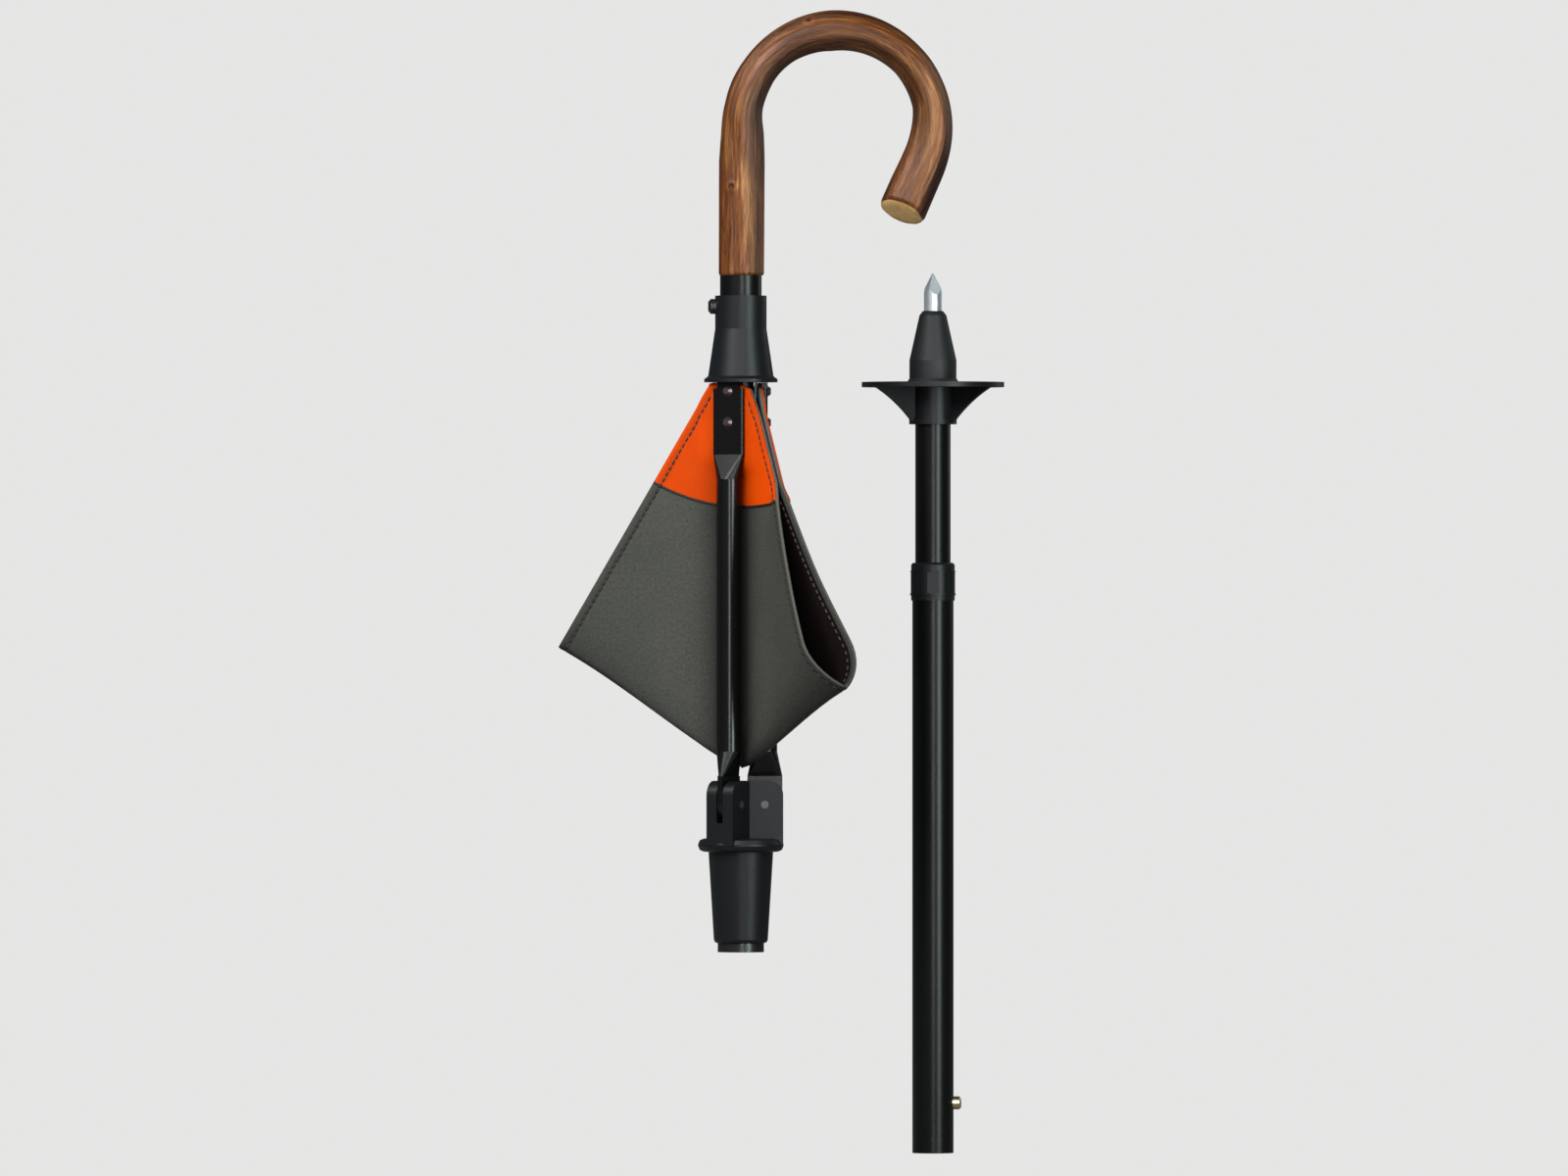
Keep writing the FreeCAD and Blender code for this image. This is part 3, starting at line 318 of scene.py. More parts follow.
rivet_steel = finish_material("rivet_steel", (0.10, 0.078, 0.075), 0.34, 1800, metal=0.7)
button_brass = finish_material("button_brass", (0.62, 0.52, 0.30), 0.25, 1500, metal=1.0,
                               bump=0.04, patchy=0.1)
print("finishes", moulded.name, coated.name, arm_coat.name, rubbery.name, "and metals")

# %% Dress the hard parts
FINISHES = {
    moulded: ["socket_sleeve", "hub", "handle_bell", "bell_core", "leg_end_plug",
              "clamp_collar", "clamp_ring", "inner_tube_guide", "ground_plate"],
    coated: ["handle_tube", "leg_tube", "inner_tube"],
    arm_coat: ["arm_front", "arm_right", "arm_left"],
    rubbery: ["ferrule"],
    ground_steel: ["spike", "knob_spring"],
    pin_steel: ["pivot_pins", "handle_pin"],
    dark_metal: ["socket_liner", "handle_knob", "backing_plate_front",
                 "backing_plate_right", "backing_plate_left"],
    rivet_steel: ["rivets_front", "rivets_right", "rivets_left"],
    button_brass: ["leg_button"],
}


def dress(node, material):
    """Give a CAD node a finish in all its slots."""
    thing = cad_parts[node]
    for slot in thing.material_slots:
        slot.material = material


for finish, nodes in FINISHES.items():
    for node in nodes:
        dress(node, finish)
print("dressed", {m.name: len(n) for m, n in FINISHES.items()})

# %% [markdown]
# ## Where the leather lies
# The seat is a triangle of leather. Its centre hangs low between the arms, its corners are
# riveted to the arms' tips, and the middle of each side is folded outwards as a wing. All
# straight lines from the centre stay straight, so the folded seat is a cone. Each point of
# the flat leather is named by two lengths: s, out along a wing, and z, up along the arm.
# One function says where that point lies, and every layer and stitch uses it.

# %% The flat leather
APEX = 106.0            # height of the seat's centre, mm
FOLD = 111.0            # from the centre to the middle of a side
TIP_TOP = 300.7         # where the corners are cut off, under the bell
CORNER = APEX + 2 * FOLD
LAYER = 1.3             # half the distance between the layers of a shut wing
THICK = 2.2             # the leather itself
ARM_TURNS = {"right": 0.0, "left": 120.0, "front": 240.0}
SECTOR = math.radians(60)               # from an arm to a fold, on the flat leather too
SECTOR_COS, SECTOR_SIN = 0.5, 0.866


def ease(x):
    """A soft step from 0 to 1."""
    x = np.clip(x, 0, 1)
    return x * x * (3 - 2 * x)


def hump(value, centre, width):
    """A soft rise to 1 about one value."""
    return np.exp(-((value - centre) / width) ** 2)


def polar(s, z):
    """Distance from the seat's centre and angle from the arm."""
    return np.hypot(s, z - APEX), np.arctan2(s, z - APEX)


def edge_distance(s, z):
    """Distance in from the free edge or the cut top of the leather."""
    free = FOLD - (s * math.cos(SECTOR / 2) + (z - APEX) * math.sin(SECTOR / 2))
    return np.minimum(free, TIP_TOP - z)


print("a side of the triangle is", round(2 * FOLD * math.sqrt(3)), "mm")

# %% Shut wings
CENTRE_REACH = 22.0             # the folds have their full form this far from the centre
NECK, NECK_RISE = 249.0, 13.0   # height where an arm starts to widen, and over how much
BEHIND = (4.8, 5.05)            # from the axis to the leather there; what the tip adds
STRIP = (6.4, 5.1)              # half the width of the flat strip; what the tip adds
SETTLE = 8.0                    # run over which the two layers of a wing meet
FOLD_NEAR = 3.0                 # the rounded fold reaches this far in
ROUNDING = 1.6                  # how far the corner behind the arm is smoothed
ROUND_END, ROUND_FADE = 6.0, 3.0


def shut_wing(s, z):
    """A shut wing: flat behind the arm, then two layers, then the fold."""
    rho, phi = polar(s, z)
    near = ease(rho / CENTRE_REACH)
    tip = ease((z - NECK) / NECK_RISE)
    behind = (BEHIND[0] + BEHIND[1] * tip) * near
    half = (STRIP[0] + STRIP[1] * tip) * near
    start = (behind * SECTOR_COS, behind * SECTOR_SIN)
    turn = (start[0] + half * SECTOR_SIN, start[1] - half * SECTOR_COS)
    from_fold = np.clip(rho * np.sin(SECTOR - phi), 0, None)
    curl = np.clip(from_fold / LAYER, 0, math.pi / 2)
    q_layer = LAYER * np.sin(curl)
    past = LAYER * (1 - np.cos(curl) - curl) * near
    away = ease((s - turn[0]) / SETTLE)
    settle = away + (1 - ease(from_fold / FOLD_NEAR)) * (1 - away)
    k = s / np.maximum(turn[0], 1e-6)
    s_new = np.where(k < 1, start[0] + (turn[0] - start[0]) * k, s - SECTOR_COS * past)
    q_new = np.where(k < 1, start[1] + (turn[1] - start[1]) * k,
                     turn[1] + (q_layer - turn[1]) * settle)
    z_new = z + np.where(k < 1, 0, SECTOR_SIN * past)
    return s_new, q_new, z_new, turn[0]


def rounded_wing(s, z):
    """The shut wing with its corner behind the arm rounded off."""
    before, here, after = (shut_wing(s + shift, z) for shift in (-ROUNDING, 0, ROUNDING))
    edge = ease((here[3] + ROUND_END - s) / ROUND_FADE)
    smooth = [h + ((b + h + a) / 3 - h) * edge for b, h, a in zip(before, here, after)]
    return smooth[0], smooth[1], smooth[2], here[3]


print("leather behind an arm", BEHIND[0], "mm from the axis, at the tip", sum(BEHIND))

# %% The open wing
LOOP_START, LOOP_RADIUS, LOOP_REACH = 0.2844, 0.139, 0.6097     # per mm from the centre
LOOP_POINTS = (40, 60, 120)     # of the closed part, the straight flank and the round end
LOOP_MEET = 0.35                # the shut layers' gap fades out over this much of e / d
LOOP_PART = 0.06                # and the loop sets in over this much
LOOP_SETTLE = 9.0
DROOP, DROOP_POWER = math.radians(17.0), 2.33       # how far the fold drops
SAG, SAG_POWER, SAG_DOWN = 0.12, 1.15, 0.83         # how far the free edge sinks


def loop_rays():
    """Directions of the open wing's straight lines, by flat angle from the arm."""
    lean = math.asin(LOOP_RADIUS / LOOP_REACH)
    flank = math.sqrt(LOOP_REACH ** 2 - LOOP_RADIUS ** 2)
    run = np.linspace(0, flank, LOOP_POINTS[1])[1:]
    turn = np.linspace(math.pi / 2 + lean, 0, LOOP_POINTS[2])[1:]
    e = np.concatenate([np.linspace(-math.tan(SECTOR / 2), -LOOP_START, LOOP_POINTS[0]),
                        run * math.cos(lean) - LOOP_START,
                        LOOP_REACH - LOOP_START + LOOP_RADIUS * np.cos(turn)])
    q = np.concatenate([np.zeros(LOOP_POINTS[0]), run * math.sin(lean),
                        LOOP_RADIUS * np.sin(turn)])
    ways = np.stack([np.ones_like(e), e, q], -1)
    ways /= np.linalg.norm(ways, axis=1, keepdims=True)
    step = np.arccos(np.clip((ways[1:] * ways[:-1]).sum(1), -1, 1))
    angle = np.concatenate([[0], np.cumsum(step)])
    print("flat angle of the loop", round(math.degrees(angle[-1]), 2), "degrees")
    return angle * SECTOR / angle[-1], ways


LOOP_ANGLES, LOOP_WAYS = loop_rays()


def hanging(s, q, z, rho, phi):
    """Let the open wing hang: its fold drops, and its free edge sinks in the middle."""
    share = np.clip(phi / SECTOR, 0, 1)
    drop = DROOP * share ** DROOP_POWER
    near_edge = (rho * np.cos(SECTOR - phi) / FOLD) ** 2
    sink = SAG * np.sin(math.pi * share ** SAG_POWER) * near_edge
    up = z - APEX
    return ((s * np.cos(drop) + up * np.sin(drop)) * (1 - sink), q,
            APEX + (up * np.cos(drop) - s * np.sin(drop)) * (1 - SAG_DOWN * sink), phi)


def loop_wing(s, z):
    """The wing that stands open: its fold is a loop that widens away from the centre."""
    s_shut, q_shut, z_shut, turn = rounded_wing(s, z)
    rho, phi = polar(s, z)
    d, e, q = (rho * np.interp(phi, LOOP_ANGLES, LOOP_WAYS[:, i]) for i in range(3))
    past = e / np.maximum(d, 1e-6) + LOOP_START
    q_loop = q + LAYER * (1 - ease(past / LOOP_MEET))
    tilt = SECTOR / 2
    s_loop = d * math.sin(tilt) + e * math.cos(tilt)
    z_loop = APEX + d * math.cos(tilt) - e * math.sin(tilt)
    part = ease((s - turn) / LOOP_SETTLE) * ease(past / LOOP_PART)
    s_new = s_shut + (s_loop - s_shut) * part
    q_new = q_shut + (q_loop - q_shut) * part
    z_new = z_shut + (z_loop - z_shut) * part
    return hanging(s_new, q_new, z_new, rho, phi)


# %% Every point of the folded leather
OPEN_HALVES = (("right", -1), ("front", 1))     # the two halves of the wing that is open
BACK_HALVES = (("right", 1), ("left", -1))
SWING, SWING_SPEED = math.radians(1.6), 1.35    # how far the open wing turns, how soon
BACK_SWING, BACK_REACH = math.radians(20), 30.0
CENTRE_SAG, SAG_REACH = 9.0, 105.0              # the leather's centre hangs lower
LIFT_REACH = 9.0                # at the centre the faces run together, up to this far
NEAR_BY = 0.08                  # step to a neighbour, for the leather's slope


def leather_middle(s, z, arm, side):
    """The middle of the leather's thickness, in mm, for flat points s, z."""
    s, z = np.asarray(s, float), np.asarray(z, float)
    wing = math.radians(ARM_TURNS[arm] + side * 60)
    if (arm, side) in OPEN_HALVES:
        s_new, q_new, z_new, phi = loop_wing(s, z)
        wing = wing + SWING * ease(SWING_SPEED * phi / SECTOR)
    else:
        s_new, q_new, z_new, _ = rounded_wing(s, z)
        if (arm, side) in BACK_HALVES:
            wing = wing + BACK_SWING * ease(s / BACK_REACH)
    z_new = z_new - CENTRE_SAG * (1 - ease(polar(s, z)[0] / SAG_REACH))
    out = np.stack([np.cos(wing) * np.ones_like(s), np.sin(wing) * np.ones_like(s)], -1)
    to_arm = np.stack([side * out[..., 1], -side * out[..., 0]], -1)
    flat = out * s_new[..., None] + to_arm * q_new[..., None]
    return np.concatenate([flat, z_new[..., None]], -1)


def leather_point(s, z, arm, side, lift):
    """A point of the leather, lifted off the middle towards the outer face."""
    along = (leather_middle(s + NEAR_BY, z, arm, side)
             - leather_middle(s - NEAR_BY, z, arm, side))
    up = (leather_middle(s, z + NEAR_BY, arm, side)
          - leather_middle(s, z - NEAR_BY, arm, side))
    normal = side * np.cross(along, up)
    normal /= np.maximum(np.linalg.norm(normal, axis=-1, keepdims=True), 1e-9)
    lift = lift * ease(polar(s, z)[0] / LIFT_REACH)
    return leather_middle(s, z, arm, side) + normal * lift[..., None]


wing_tip = leather_middle([FOLD * SECTOR_SIN], [APEX + FOLD / 2], "right", -1)
print("tip of the open wing", wing_tip.round(1))

# %% [markdown]
# ## Leather and lining
# The outer face is a waxed cloth-like leather with a visible weave, so its texture follows
# the flat coordinates of the leather and turns with the folds. Those coordinates are kept
# on the mesh as an attribute, and so is a painted shade that darkens the hollows, with
# painted light in the middle of each wing. The inside has a dark smooth lining.

# %% Leather finishes
SPECKS = (620.0, 6.0, 0.85)     # scale, detail and roughness of the fine specks
CLOUDS = (34.0, 4.0, 0.6)       # and of the soft clouds
WEAVE_SHARE = 0.18              # how much of the height is weave, next to the specks
WEAVE_BUMP = 0.0006             # height of the weave at full strength, m
THREAD_RANGE = (0.30, 0.82)     # heights between the two colours
CLOUD_RANGE = (0.80, 1.18)      # how much the soft clouds darken or lighten


def combined(tree, operation, *values):
    """One value made from others, some of which are plain numbers."""
    made = node_of(tree, "ShaderNodeMath", operation=operation)
    for value, socket in zip(values, made.inputs):
        if isinstance(value, float):
            socket.default_value = value
        else:
            tree.links.new(value, socket)
    return made.outputs[0]


def shaded(tree, colour, factor):
    """A colour made darker or lighter by a factor."""
    made = node_of(tree, "ShaderNodeVectorMath", operation="SCALE")
    tree.links.new(colour, made.inputs[0])
    tree.links.new(factor, made.inputs["Scale"])
    return made.outputs[0]


def kept_on_mesh(tree, name, output):
    """What the mesh says at each point under a name."""
    return node_of(tree, "ShaderNodeAttribute", attribute_name=name).outputs[output]


def woven_leather(name, colour, thread, roughness, weave, depth, shine=0.3):
    """Leather with a fine weave: two crossed waves, broken up by noise."""
    made, tree, shader = new_material(name, {"Roughness": roughness,
                                             "Specular IOR Level": shine})
    flat = kept_on_mesh(tree, "cloth", "Vector")
    waves = []
    for direction in ("X", "Y"):
        wave = node_of(tree, "ShaderNodeTexWave", bands_direction=direction,
                       wave_profile="SIN", Scale=weave, Distortion=1.2, Detail=2.0)
        wave.inputs["Detail Scale"].default_value = 3.0
        tree.links.new(flat, wave.inputs["Vector"])
        waves.append(wave.outputs["Fac"])
    specks = noise_of(tree, flat, *SPECKS)
    clouds = noise_of(tree, flat, *CLOUDS)
    crossed = combined(tree, "MULTIPLY", *waves)
    height = combined(tree, "ADD", combined(tree, "MULTIPLY", crossed, WEAVE_SHARE), specks)
    mixed = colour_mix(tree, remap(tree, height, (0.0, 1.0), THREAD_RANGE), colour, thread)
    # random clouds times the painted shade and light kept on the mesh
    painted_shade_and_tone = combined(tree, "MULTIPLY", remap(tree, clouds, CLOUD_RANGE),
                    kept_on_mesh(tree, "painted_shade_and_tone", "Fac"))
    tree.links.new(shaded(tree, mixed, painted_shade_and_tone), shader.inputs["Base Color"])
    bump_on(tree, shader, height, depth, WEAVE_BUMP)
    return made


olive_leather = woven_leather("olive_leather", (0.029, 0.032, 0.024),
                              (0.118, 0.121, 0.096), 0.78, 520.0, 0.6)
orange_leather = woven_leather("orange_leather", (0.80, 0.070, 0.0005),
                               (0.88, 0.086, 0.001), 0.62, 520.0, 0.12, shine=0.04)
lining = woven_leather("dark_lining", (0.006, 0.0025, 0.0025), (0.014, 0.006, 0.006),
                       0.6, 300.0, 0.3, shine=0.12)
cut_edge = woven_leather("cut_edge", (0.17, 0.16, 0.13), (0.26, 0.245, 0.20), 0.7, 700.0,
                         0.3)
# Painted shadow and dark thread along each patch's curved edge.
edge_shadow_and_thread = finish_material("edge_shadow_and_thread", (0.024, 0.010, 0.006), 0.6, 2600, bump=0.2)
inner_thread = finish_material("inner_thread", (0.045, 0.018, 0.016), 0.7, 3000, bump=0.3)
dark_thread = finish_material("dark_thread", (0.007, 0.005, 0.0045), 0.7, 3000, bump=0.3)
print("leathers", olive_leather.name, orange_leather.name, lining.name)

# %% [markdown]
# ## The seat's three parts
# Each arm takes its own corner of the leather along, so the seat is made in three parts that
# meet at the folds. The mesh has an outer face, a lining and a rim along the free edge.

# %% Mesh helpers
WELD = 1e-5             # points nearer than this are one, m


def keep_on_mesh(mesh, name, kind, field, values):
    """Store a value for each point of a mesh."""
    kept = mesh.attributes.new(name, kind, "POINT")
    kept.data.foreach_set(field, np.asarray(values, float).ravel())


def add_mesh(name, points, faces, materials, indices=None):
    """A new smooth object from points in mm, with its finishes."""
    mesh = bpy.data.meshes.new(name)
    mesh.from_pydata([tuple(p) for p in np.asarray(points) * MM], [], faces)
    for material in materials:
        mesh.materials.append(material)
    if indices is not None:
        mesh.polygons.foreach_set("material_index", indices)
    mesh.polygons.foreach_set("use_smooth", [True] * len(mesh.polygons))
    mesh.update()
    return add_object(name, mesh)


def weld(made):
    """Merge points that coincide."""
    shape = bmesh.new()
    shape.from_mesh(made.data)
    bmesh.ops.remove_doubles(shape, verts=shape.verts, dist=WELD)
    shape.to_mesh(made.data)
    shape.free()


print("points nearer than", WELD / MM, "mm are welded")

# %% The flat grid of a part
SEAM = 4.0              # the seam runs this far in from the free edge
GROOVE = 0.55           # half the width of the groove that it draws
EDGE_ROWS = np.array([7.0, 5.4, 4.6, 4.0, 3.4, 2.6, 1.2, 0.4, 0.0])    # in from the edge
FIRST_ROW, ROW_CROWD = 0.004, 0.9       # rows start by the centre and crowd outwards
# how strongly the painted shade darkens each place, and how much painted light lifts the
# middle
LEATHER_PAINTED_SHADING = {"border": 0.20, "seam": 0.35, "arm": 0.70, "middle": 0.17, "slope": 0.20,
         "fold": 0.26}


def leather_painted_shading(s, z):
    """Painted shade, darker outside the seam, beside the arm and towards the fold; painted
    light between.

    The places are in mm from the edge or the arm, and those of the fold in radians.
    """
    inside, turn = edge_distance(s, z), polar(s, z)[1]
    border = 1 - LEATHER_PAINTED_SHADING["border"] * (1 - ease((inside - 3.4) / 1.4))
    seam = 1 - LEATHER_PAINTED_SHADING["seam"] * hump(inside, SEAM, 0.7)
    # painted shade in the valley beside the arm's tube
    beside_arm = 1 - LEATHER_PAINTED_SHADING["arm"] * hump(s, 8, 9.5) * ease((inside + 20) / 60)
    middle = 0.99 + LEATHER_PAINTED_SHADING["middle"] * hump(s, 34, 18)
    fold = (1 - LEATHER_PAINTED_SHADING["slope"] * ease((turn - 0.66) / 0.36)
            - LEATHER_PAINTED_SHADING["fold"] * ease((turn - 0.88) / 0.16))
    return border * seam * beside_arm * middle * fold


def half_grid(columns=46, corner_columns=7, rows=58):
    """Flat points of half a sector: rays from the centre, rows close near the edge."""
    cut = math.atan2((CORNER - TIP_TOP) * math.tan(SECTOR / 2), TIP_TOP - APEX)
    phi = np.concatenate([np.linspace(0, cut, corner_columns + 1)[:-1],
                          np.linspace(cut, SECTOR, columns - corner_columns)])
    longest = np.minimum(FOLD / np.cos(SECTOR - phi), (TIP_TOP - APEX) / np.cos(phi))
    slope = np.where(phi < cut, np.cos(phi), np.cos(SECTOR - phi))
    t = np.linspace(FIRST_ROW, 1, rows - len(EDGE_ROWS) + 1) ** ROW_CROWD
    inner = (longest - EDGE_ROWS[0] / slope)[:, None] * t[None, :]
    outer = longest[:, None] - EDGE_ROWS[None, 1:] / slope[:, None]
    rho = np.concatenate([inner, outer], 1)
    return rho * np.sin(phi)[:, None], APEX + rho * np.cos(phi)[:, None]


print("half a part has", half_grid()[0].shape, "points")

# %% A shell of leather
GROOVE_DEPTH = 0.28
EDGE_DROP, EDGE_REACH = 0.45, 0.9       # how far the cut edge is rounded, from where
# Painted shade: the open wing's halves are painted darker than the shut ones.
OPEN_SHADE = 0.80                       # the open wing is darker than the shut ones


def grid_faces(columns, rows, offset, flip):
    """Quads of a grid whose points are numbered column by column."""
    faces = []
    for i in range(columns - 1):
        for j in range(rows - 1):
            a = offset + i * rows + j
            face = (a, a + rows, a + rows + 1, a + 1)
            faces.append(face[::-1] if flip else face)
    return faces


def shell_part(name, s, z, arm, outer, inner, materials, painted_shade_and_tone, edges, last, shade=1):
    """A closed shell over both halves of an arm's leather, between two lifts.

    edges picks the finish of the rim along the last row, of the rest of the rim, and of
    the border on the inner face. last says how many of the last rows of the outer face
    take the rim's finish, and how many of the inner face take the border's. shade is
    the painted shade of a half that belongs to the open wing, against that of a shut one.
    """
    columns, rows = s.shape
    size = columns * rows
    border = ([i * rows + rows - 1 for i in range(columns)]
              + [(columns - 1) * rows + j for j in range(rows - 2, -1, -1)]
              + [i * rows for i in range(columns - 2, -1, -1)])
    points, cloth, faces, indices, painted_shades = [], [], [], [], []
    for half, side in enumerate((1, -1)):
        base = half * 2 * size
        painted_shades.append(np.tile(painted_shade_and_tone.ravel(), 2) * (shade if (arm, side) in OPEN_HALVES else 1))
        flat = np.stack([side * s, z, np.zeros_like(s)], -1).reshape(-1, 3)
        for layer, lift in enumerate((outer, inner)):
            points.append(leather_point(s, z, arm, side, lift).reshape(-1, 3))
            cloth.append(flat)
            quads = grid_faces(columns, rows, base + layer * size, (side > 0) == (layer == 1))
            faces += quads
            picked = [layer] * len(quads)
            for j in range(rows - 1 - last[layer], rows - 1):
                picked[j::rows - 1] = [edges[layer * 2]] * (columns - 1)
            indices += picked
        for step, (a, b) in enumerate(zip(border, border[1:])):
            face = (base + a, base + b, base + size + b, base + size + a)
            faces.append(face if side > 0 else face[::-1])
            indices.append(edges[0] if step < columns - 1 else edges[1])
    made = add_mesh(name, np.concatenate(points), faces, materials, indices)
    keep_on_mesh(made.data, "cloth", "FLOAT_VECTOR", "vector", np.concatenate(cloth) * MM)
    keep_on_mesh(made.data, "painted_shade_and_tone", "FLOAT", "value", np.concatenate(painted_shades))
    weld(made)
    return made


def seat_part(arm):
    """Outer face, lining and rim of the leather round one arm."""
    s, z = half_grid()
    inside = edge_distance(s, z)
    dip = GROOVE_DEPTH * hump(inside, SEAM, GROOVE)
    soft = EDGE_DROP * ease(1 - inside / EDGE_REACH)
    return shell_part("seat_leather_" + arm, s, z, arm, THICK / 2 - dip - soft,
                      -THICK / 2 + soft, [olive_leather, lining, cut_edge],
                      leather_painted_shading(s, z), edges=(2, 2, 0), last=(0, 4), shade=OPEN_SHADE)


print("a part has two halves of", len(grid_faces(*half_grid()[0].shape, 0, False)), "quads")


def hang(made):
    """Bake the placement of a piece of the seat into its mesh.
    """
    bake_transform(made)


for arm in ARM_TURNS:
    part = seat_part(arm)
    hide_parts("seat_leather")
    hang(part)
    print(part.name, len(part.data.vertices), "points")

# %% [markdown]
# ## Orange corners
# Each corner is covered by a second, bright piece, sewn on the outer face. It ends in a
# curved line, an arc about the corner of the triangle. The patch is a thin shell that lies
# on the leather and rolls down at its edge.

# %% Corner patches
PATCH_ARC = 93.0        # radius of the curved edge about the triangle's corner
PATCH_DRAWN_IN = 1.0    # at the free edge the arc runs this much nearer to the corner
PATCH_THICK = 0.75
PATCH_INSIDE = 0.7      # its inner face lies inside the leather, out of sight
PATCH_ROLL, ROLL_START = 0.35, 0.97     # the curved edge rolls down from this row on
PATCH_EDGE, PATCH_EDGE_REACH = 0.3, 0.8
PATCH_GROOVE = 0.22


def patch_grid(columns=22, rows=34):
    """Flat points of half a patch, in rings about the triangle's corner."""
    psi = np.linspace(0, SECTOR / 2, columns)[:, None]
    start = (CORNER - TIP_TOP) / np.cos(psi)
    t = np.concatenate([np.linspace(0, 0.966, rows - 3), [0.98, 0.991, 1.0]])[None, :]
    r = start + (PATCH_ARC - PATCH_DRAWN_IN * np.sin(psi * 3) - start) * t
    return r * np.sin(psi), CORNER - r * np.cos(psi), np.broadcast_to(t, r.shape)


def patch_part(arm):
    """The patch round one arm; its curved edge is painted dark, a painted shadow under the
    edge with the thread.
    """
    s, z, t = patch_grid()
    inside = edge_distance(s, z)
    rounding = PATCH_ROLL * ease((t - ROLL_START) / (1 - ROLL_START))
    rim = PATCH_EDGE * ease(1 - inside / PATCH_EDGE_REACH)
    dip = PATCH_GROOVE * hump(inside, SEAM, GROOVE)
    # The patch takes the leather's painted shade and painted light at half strength.
    return shell_part("corner_" + arm, s, z, arm,
                      THICK / 2 + PATCH_THICK - rounding - rim - dip,
                      np.full_like(s, PATCH_INSIDE),
                      [orange_leather, orange_leather, edge_shadow_and_thread],
                      0.5 + 0.5 * leather_painted_shading(s, z), edges=(2, 0, 1), last=(2, 0))


for arm in ARM_TURNS:
    patch = patch_part(arm)
    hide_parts("corner_patch_" + arm)
    hang(patch)
    print(patch.name, len(patch.data.polygons), "faces")

# %% [markdown]
# ## Stitches
# A line of dark thread runs a few millimetres inside the free edges. At this size each
# stitch is a small capsule lying in the groove. They are set out along the flat leather
# with an even spacing, then laid on the folded one. The open wing also shows the thread on
# its lining, a little further in.

# %% Thread
STITCH_PITCH = 3.5
STITCH_LENGTH, STITCH_WIDTH = 2.6, 1.1
STITCH_RINGS = [(-0.5, 0.35), (-0.38, 1.0), (0.38, 1.0), (0.5, 0.35)]   # place and size
STITCH_SIDES = 6


def ring_angles(sides):
    """Angles of the points of a ring."""
    return [2 * math.pi * k / sides for k in range(sides)]


def tube_faces(base, rings, sides, inward=False):
    """Quads and both ends of a tube whose points lie ring by ring, numbered from base."""
    faces = []
    for ring in range(rings - 1):
        for k in range(sides):
            a = base + ring * sides + k
            b = base + ring * sides + (k + 1) % sides
            faces.append((a, a + sides, b + sides, b) if inward
                         else (a, b, b + sides, a + sides))
    last = base + (rings - 1) * sides
    ends = [tuple(range(base, base + sides))[::-1], tuple(range(last, last + sides))]
    return faces + ([end[::-1] for end in ends[::-1]] if inward else ends)


def capsules(centres, ways, normals):
    """Points and faces of many short rounded threads."""
    points, faces = [], []
    for centre, way, normal in zip(centres, ways, normals):
        across = np.cross(way, normal)
        base = len(points)
        for step, swell in STITCH_RINGS:
            for a in ring_angles(STITCH_SIDES):
                points.append(centre + way * step * STITCH_LENGTH
                              + (across * math.cos(a) + normal * math.sin(a))
                              * STITCH_WIDTH / 2 * swell)
        faces += tube_faces(base, len(STITCH_RINGS), STITCH_SIDES)
    return points, faces


print("a stitch is", STITCH_LENGTH, "mm long and", STITCH_WIDTH, "mm wide")

# %% Stitches
THREAD_RISE = 0.5           # step up from the leather, for the direction that faces out
THREAD_SUNK = 0.05          # the thread's middle lies this far inside the face
ON_PATCH = 0.62             # and this much higher on a patch
INNER_SEAM = 6.2
LINING_RISE = 0.1
SEAM_ENDS = (3.0, 154.0)    # along the free edge, from the fold


def lay_stitches(arm, side, s, z, lift):
    """Place stitches at flat points s, z; each one points at the next."""
    lifted = leather_point(s, z, arm, side, lift)
    normals = leather_point(s, z, arm, side, lift + THREAD_RISE) - lifted
    normals /= np.linalg.norm(normals, axis=1, keepdims=True)
    ways = np.gradient(lifted, axis=0)
    ways /= np.linalg.norm(ways, axis=1, keepdims=True)
    return capsules(lifted, ways, normals)


def edge_line(inset):
    """Flat points along the free edge, a little way in, from the fold to the corner."""
    k = np.arange(*SEAM_ENDS, STITCH_PITCH)
    s = FOLD * math.cos(SECTOR / 2) - SECTOR_COS * k - inset * SECTOR_SIN
    z = APEX + FOLD * SECTOR_COS + SECTOR_SIN * k - inset * SECTOR_COS
    return s, z


def seam(name, arm, points, faces, thread):
    """A row of stitches that hangs on one arm's leather."""
    made = add_mesh(name + arm, points, faces, [thread])
    hang(made)
    return made


for arm in ARM_TURNS:
    points, faces = [], []
    s, z = edge_line(SEAM)
    on_patch = np.hypot(s, CORNER - z) < PATCH_ARC
    lift = THICK / 2 - THREAD_SUNK + np.where(on_patch, ON_PATCH, 0.0)
    for side in (1, -1):
        side_points, side_faces = lay_stitches(arm, side, s, z, lift)
        faces += [tuple(len(points) + i for i in face) for face in side_faces]
        points += side_points
    print(seam("stitches_", arm, points, faces, dark_thread).name, 2 * len(s), "stitches")

for arm, side in OPEN_HALVES:
    s, z = edge_line(INNER_SEAM)
    points, faces = lay_stitches(arm, side, s, z,
                                 np.full(len(s), -THICK / 2 - LINING_RISE))
    seam("inner_stitches_", arm, points, faces, inner_thread)

# %% [markdown]
# ## The spring behind the leg's button
# A flat spring, bent like a hairpin, sits in the leg's tube and carries the button. It is
# modelled anew as a thin strip.

# %% Hairpin spring
SPRING_THICK = 0.8
SPRING_CORNER = 0.15    # size of the strip's slanted corners
SPRING_STEPS = 24       # points along each straight leg and along the bend


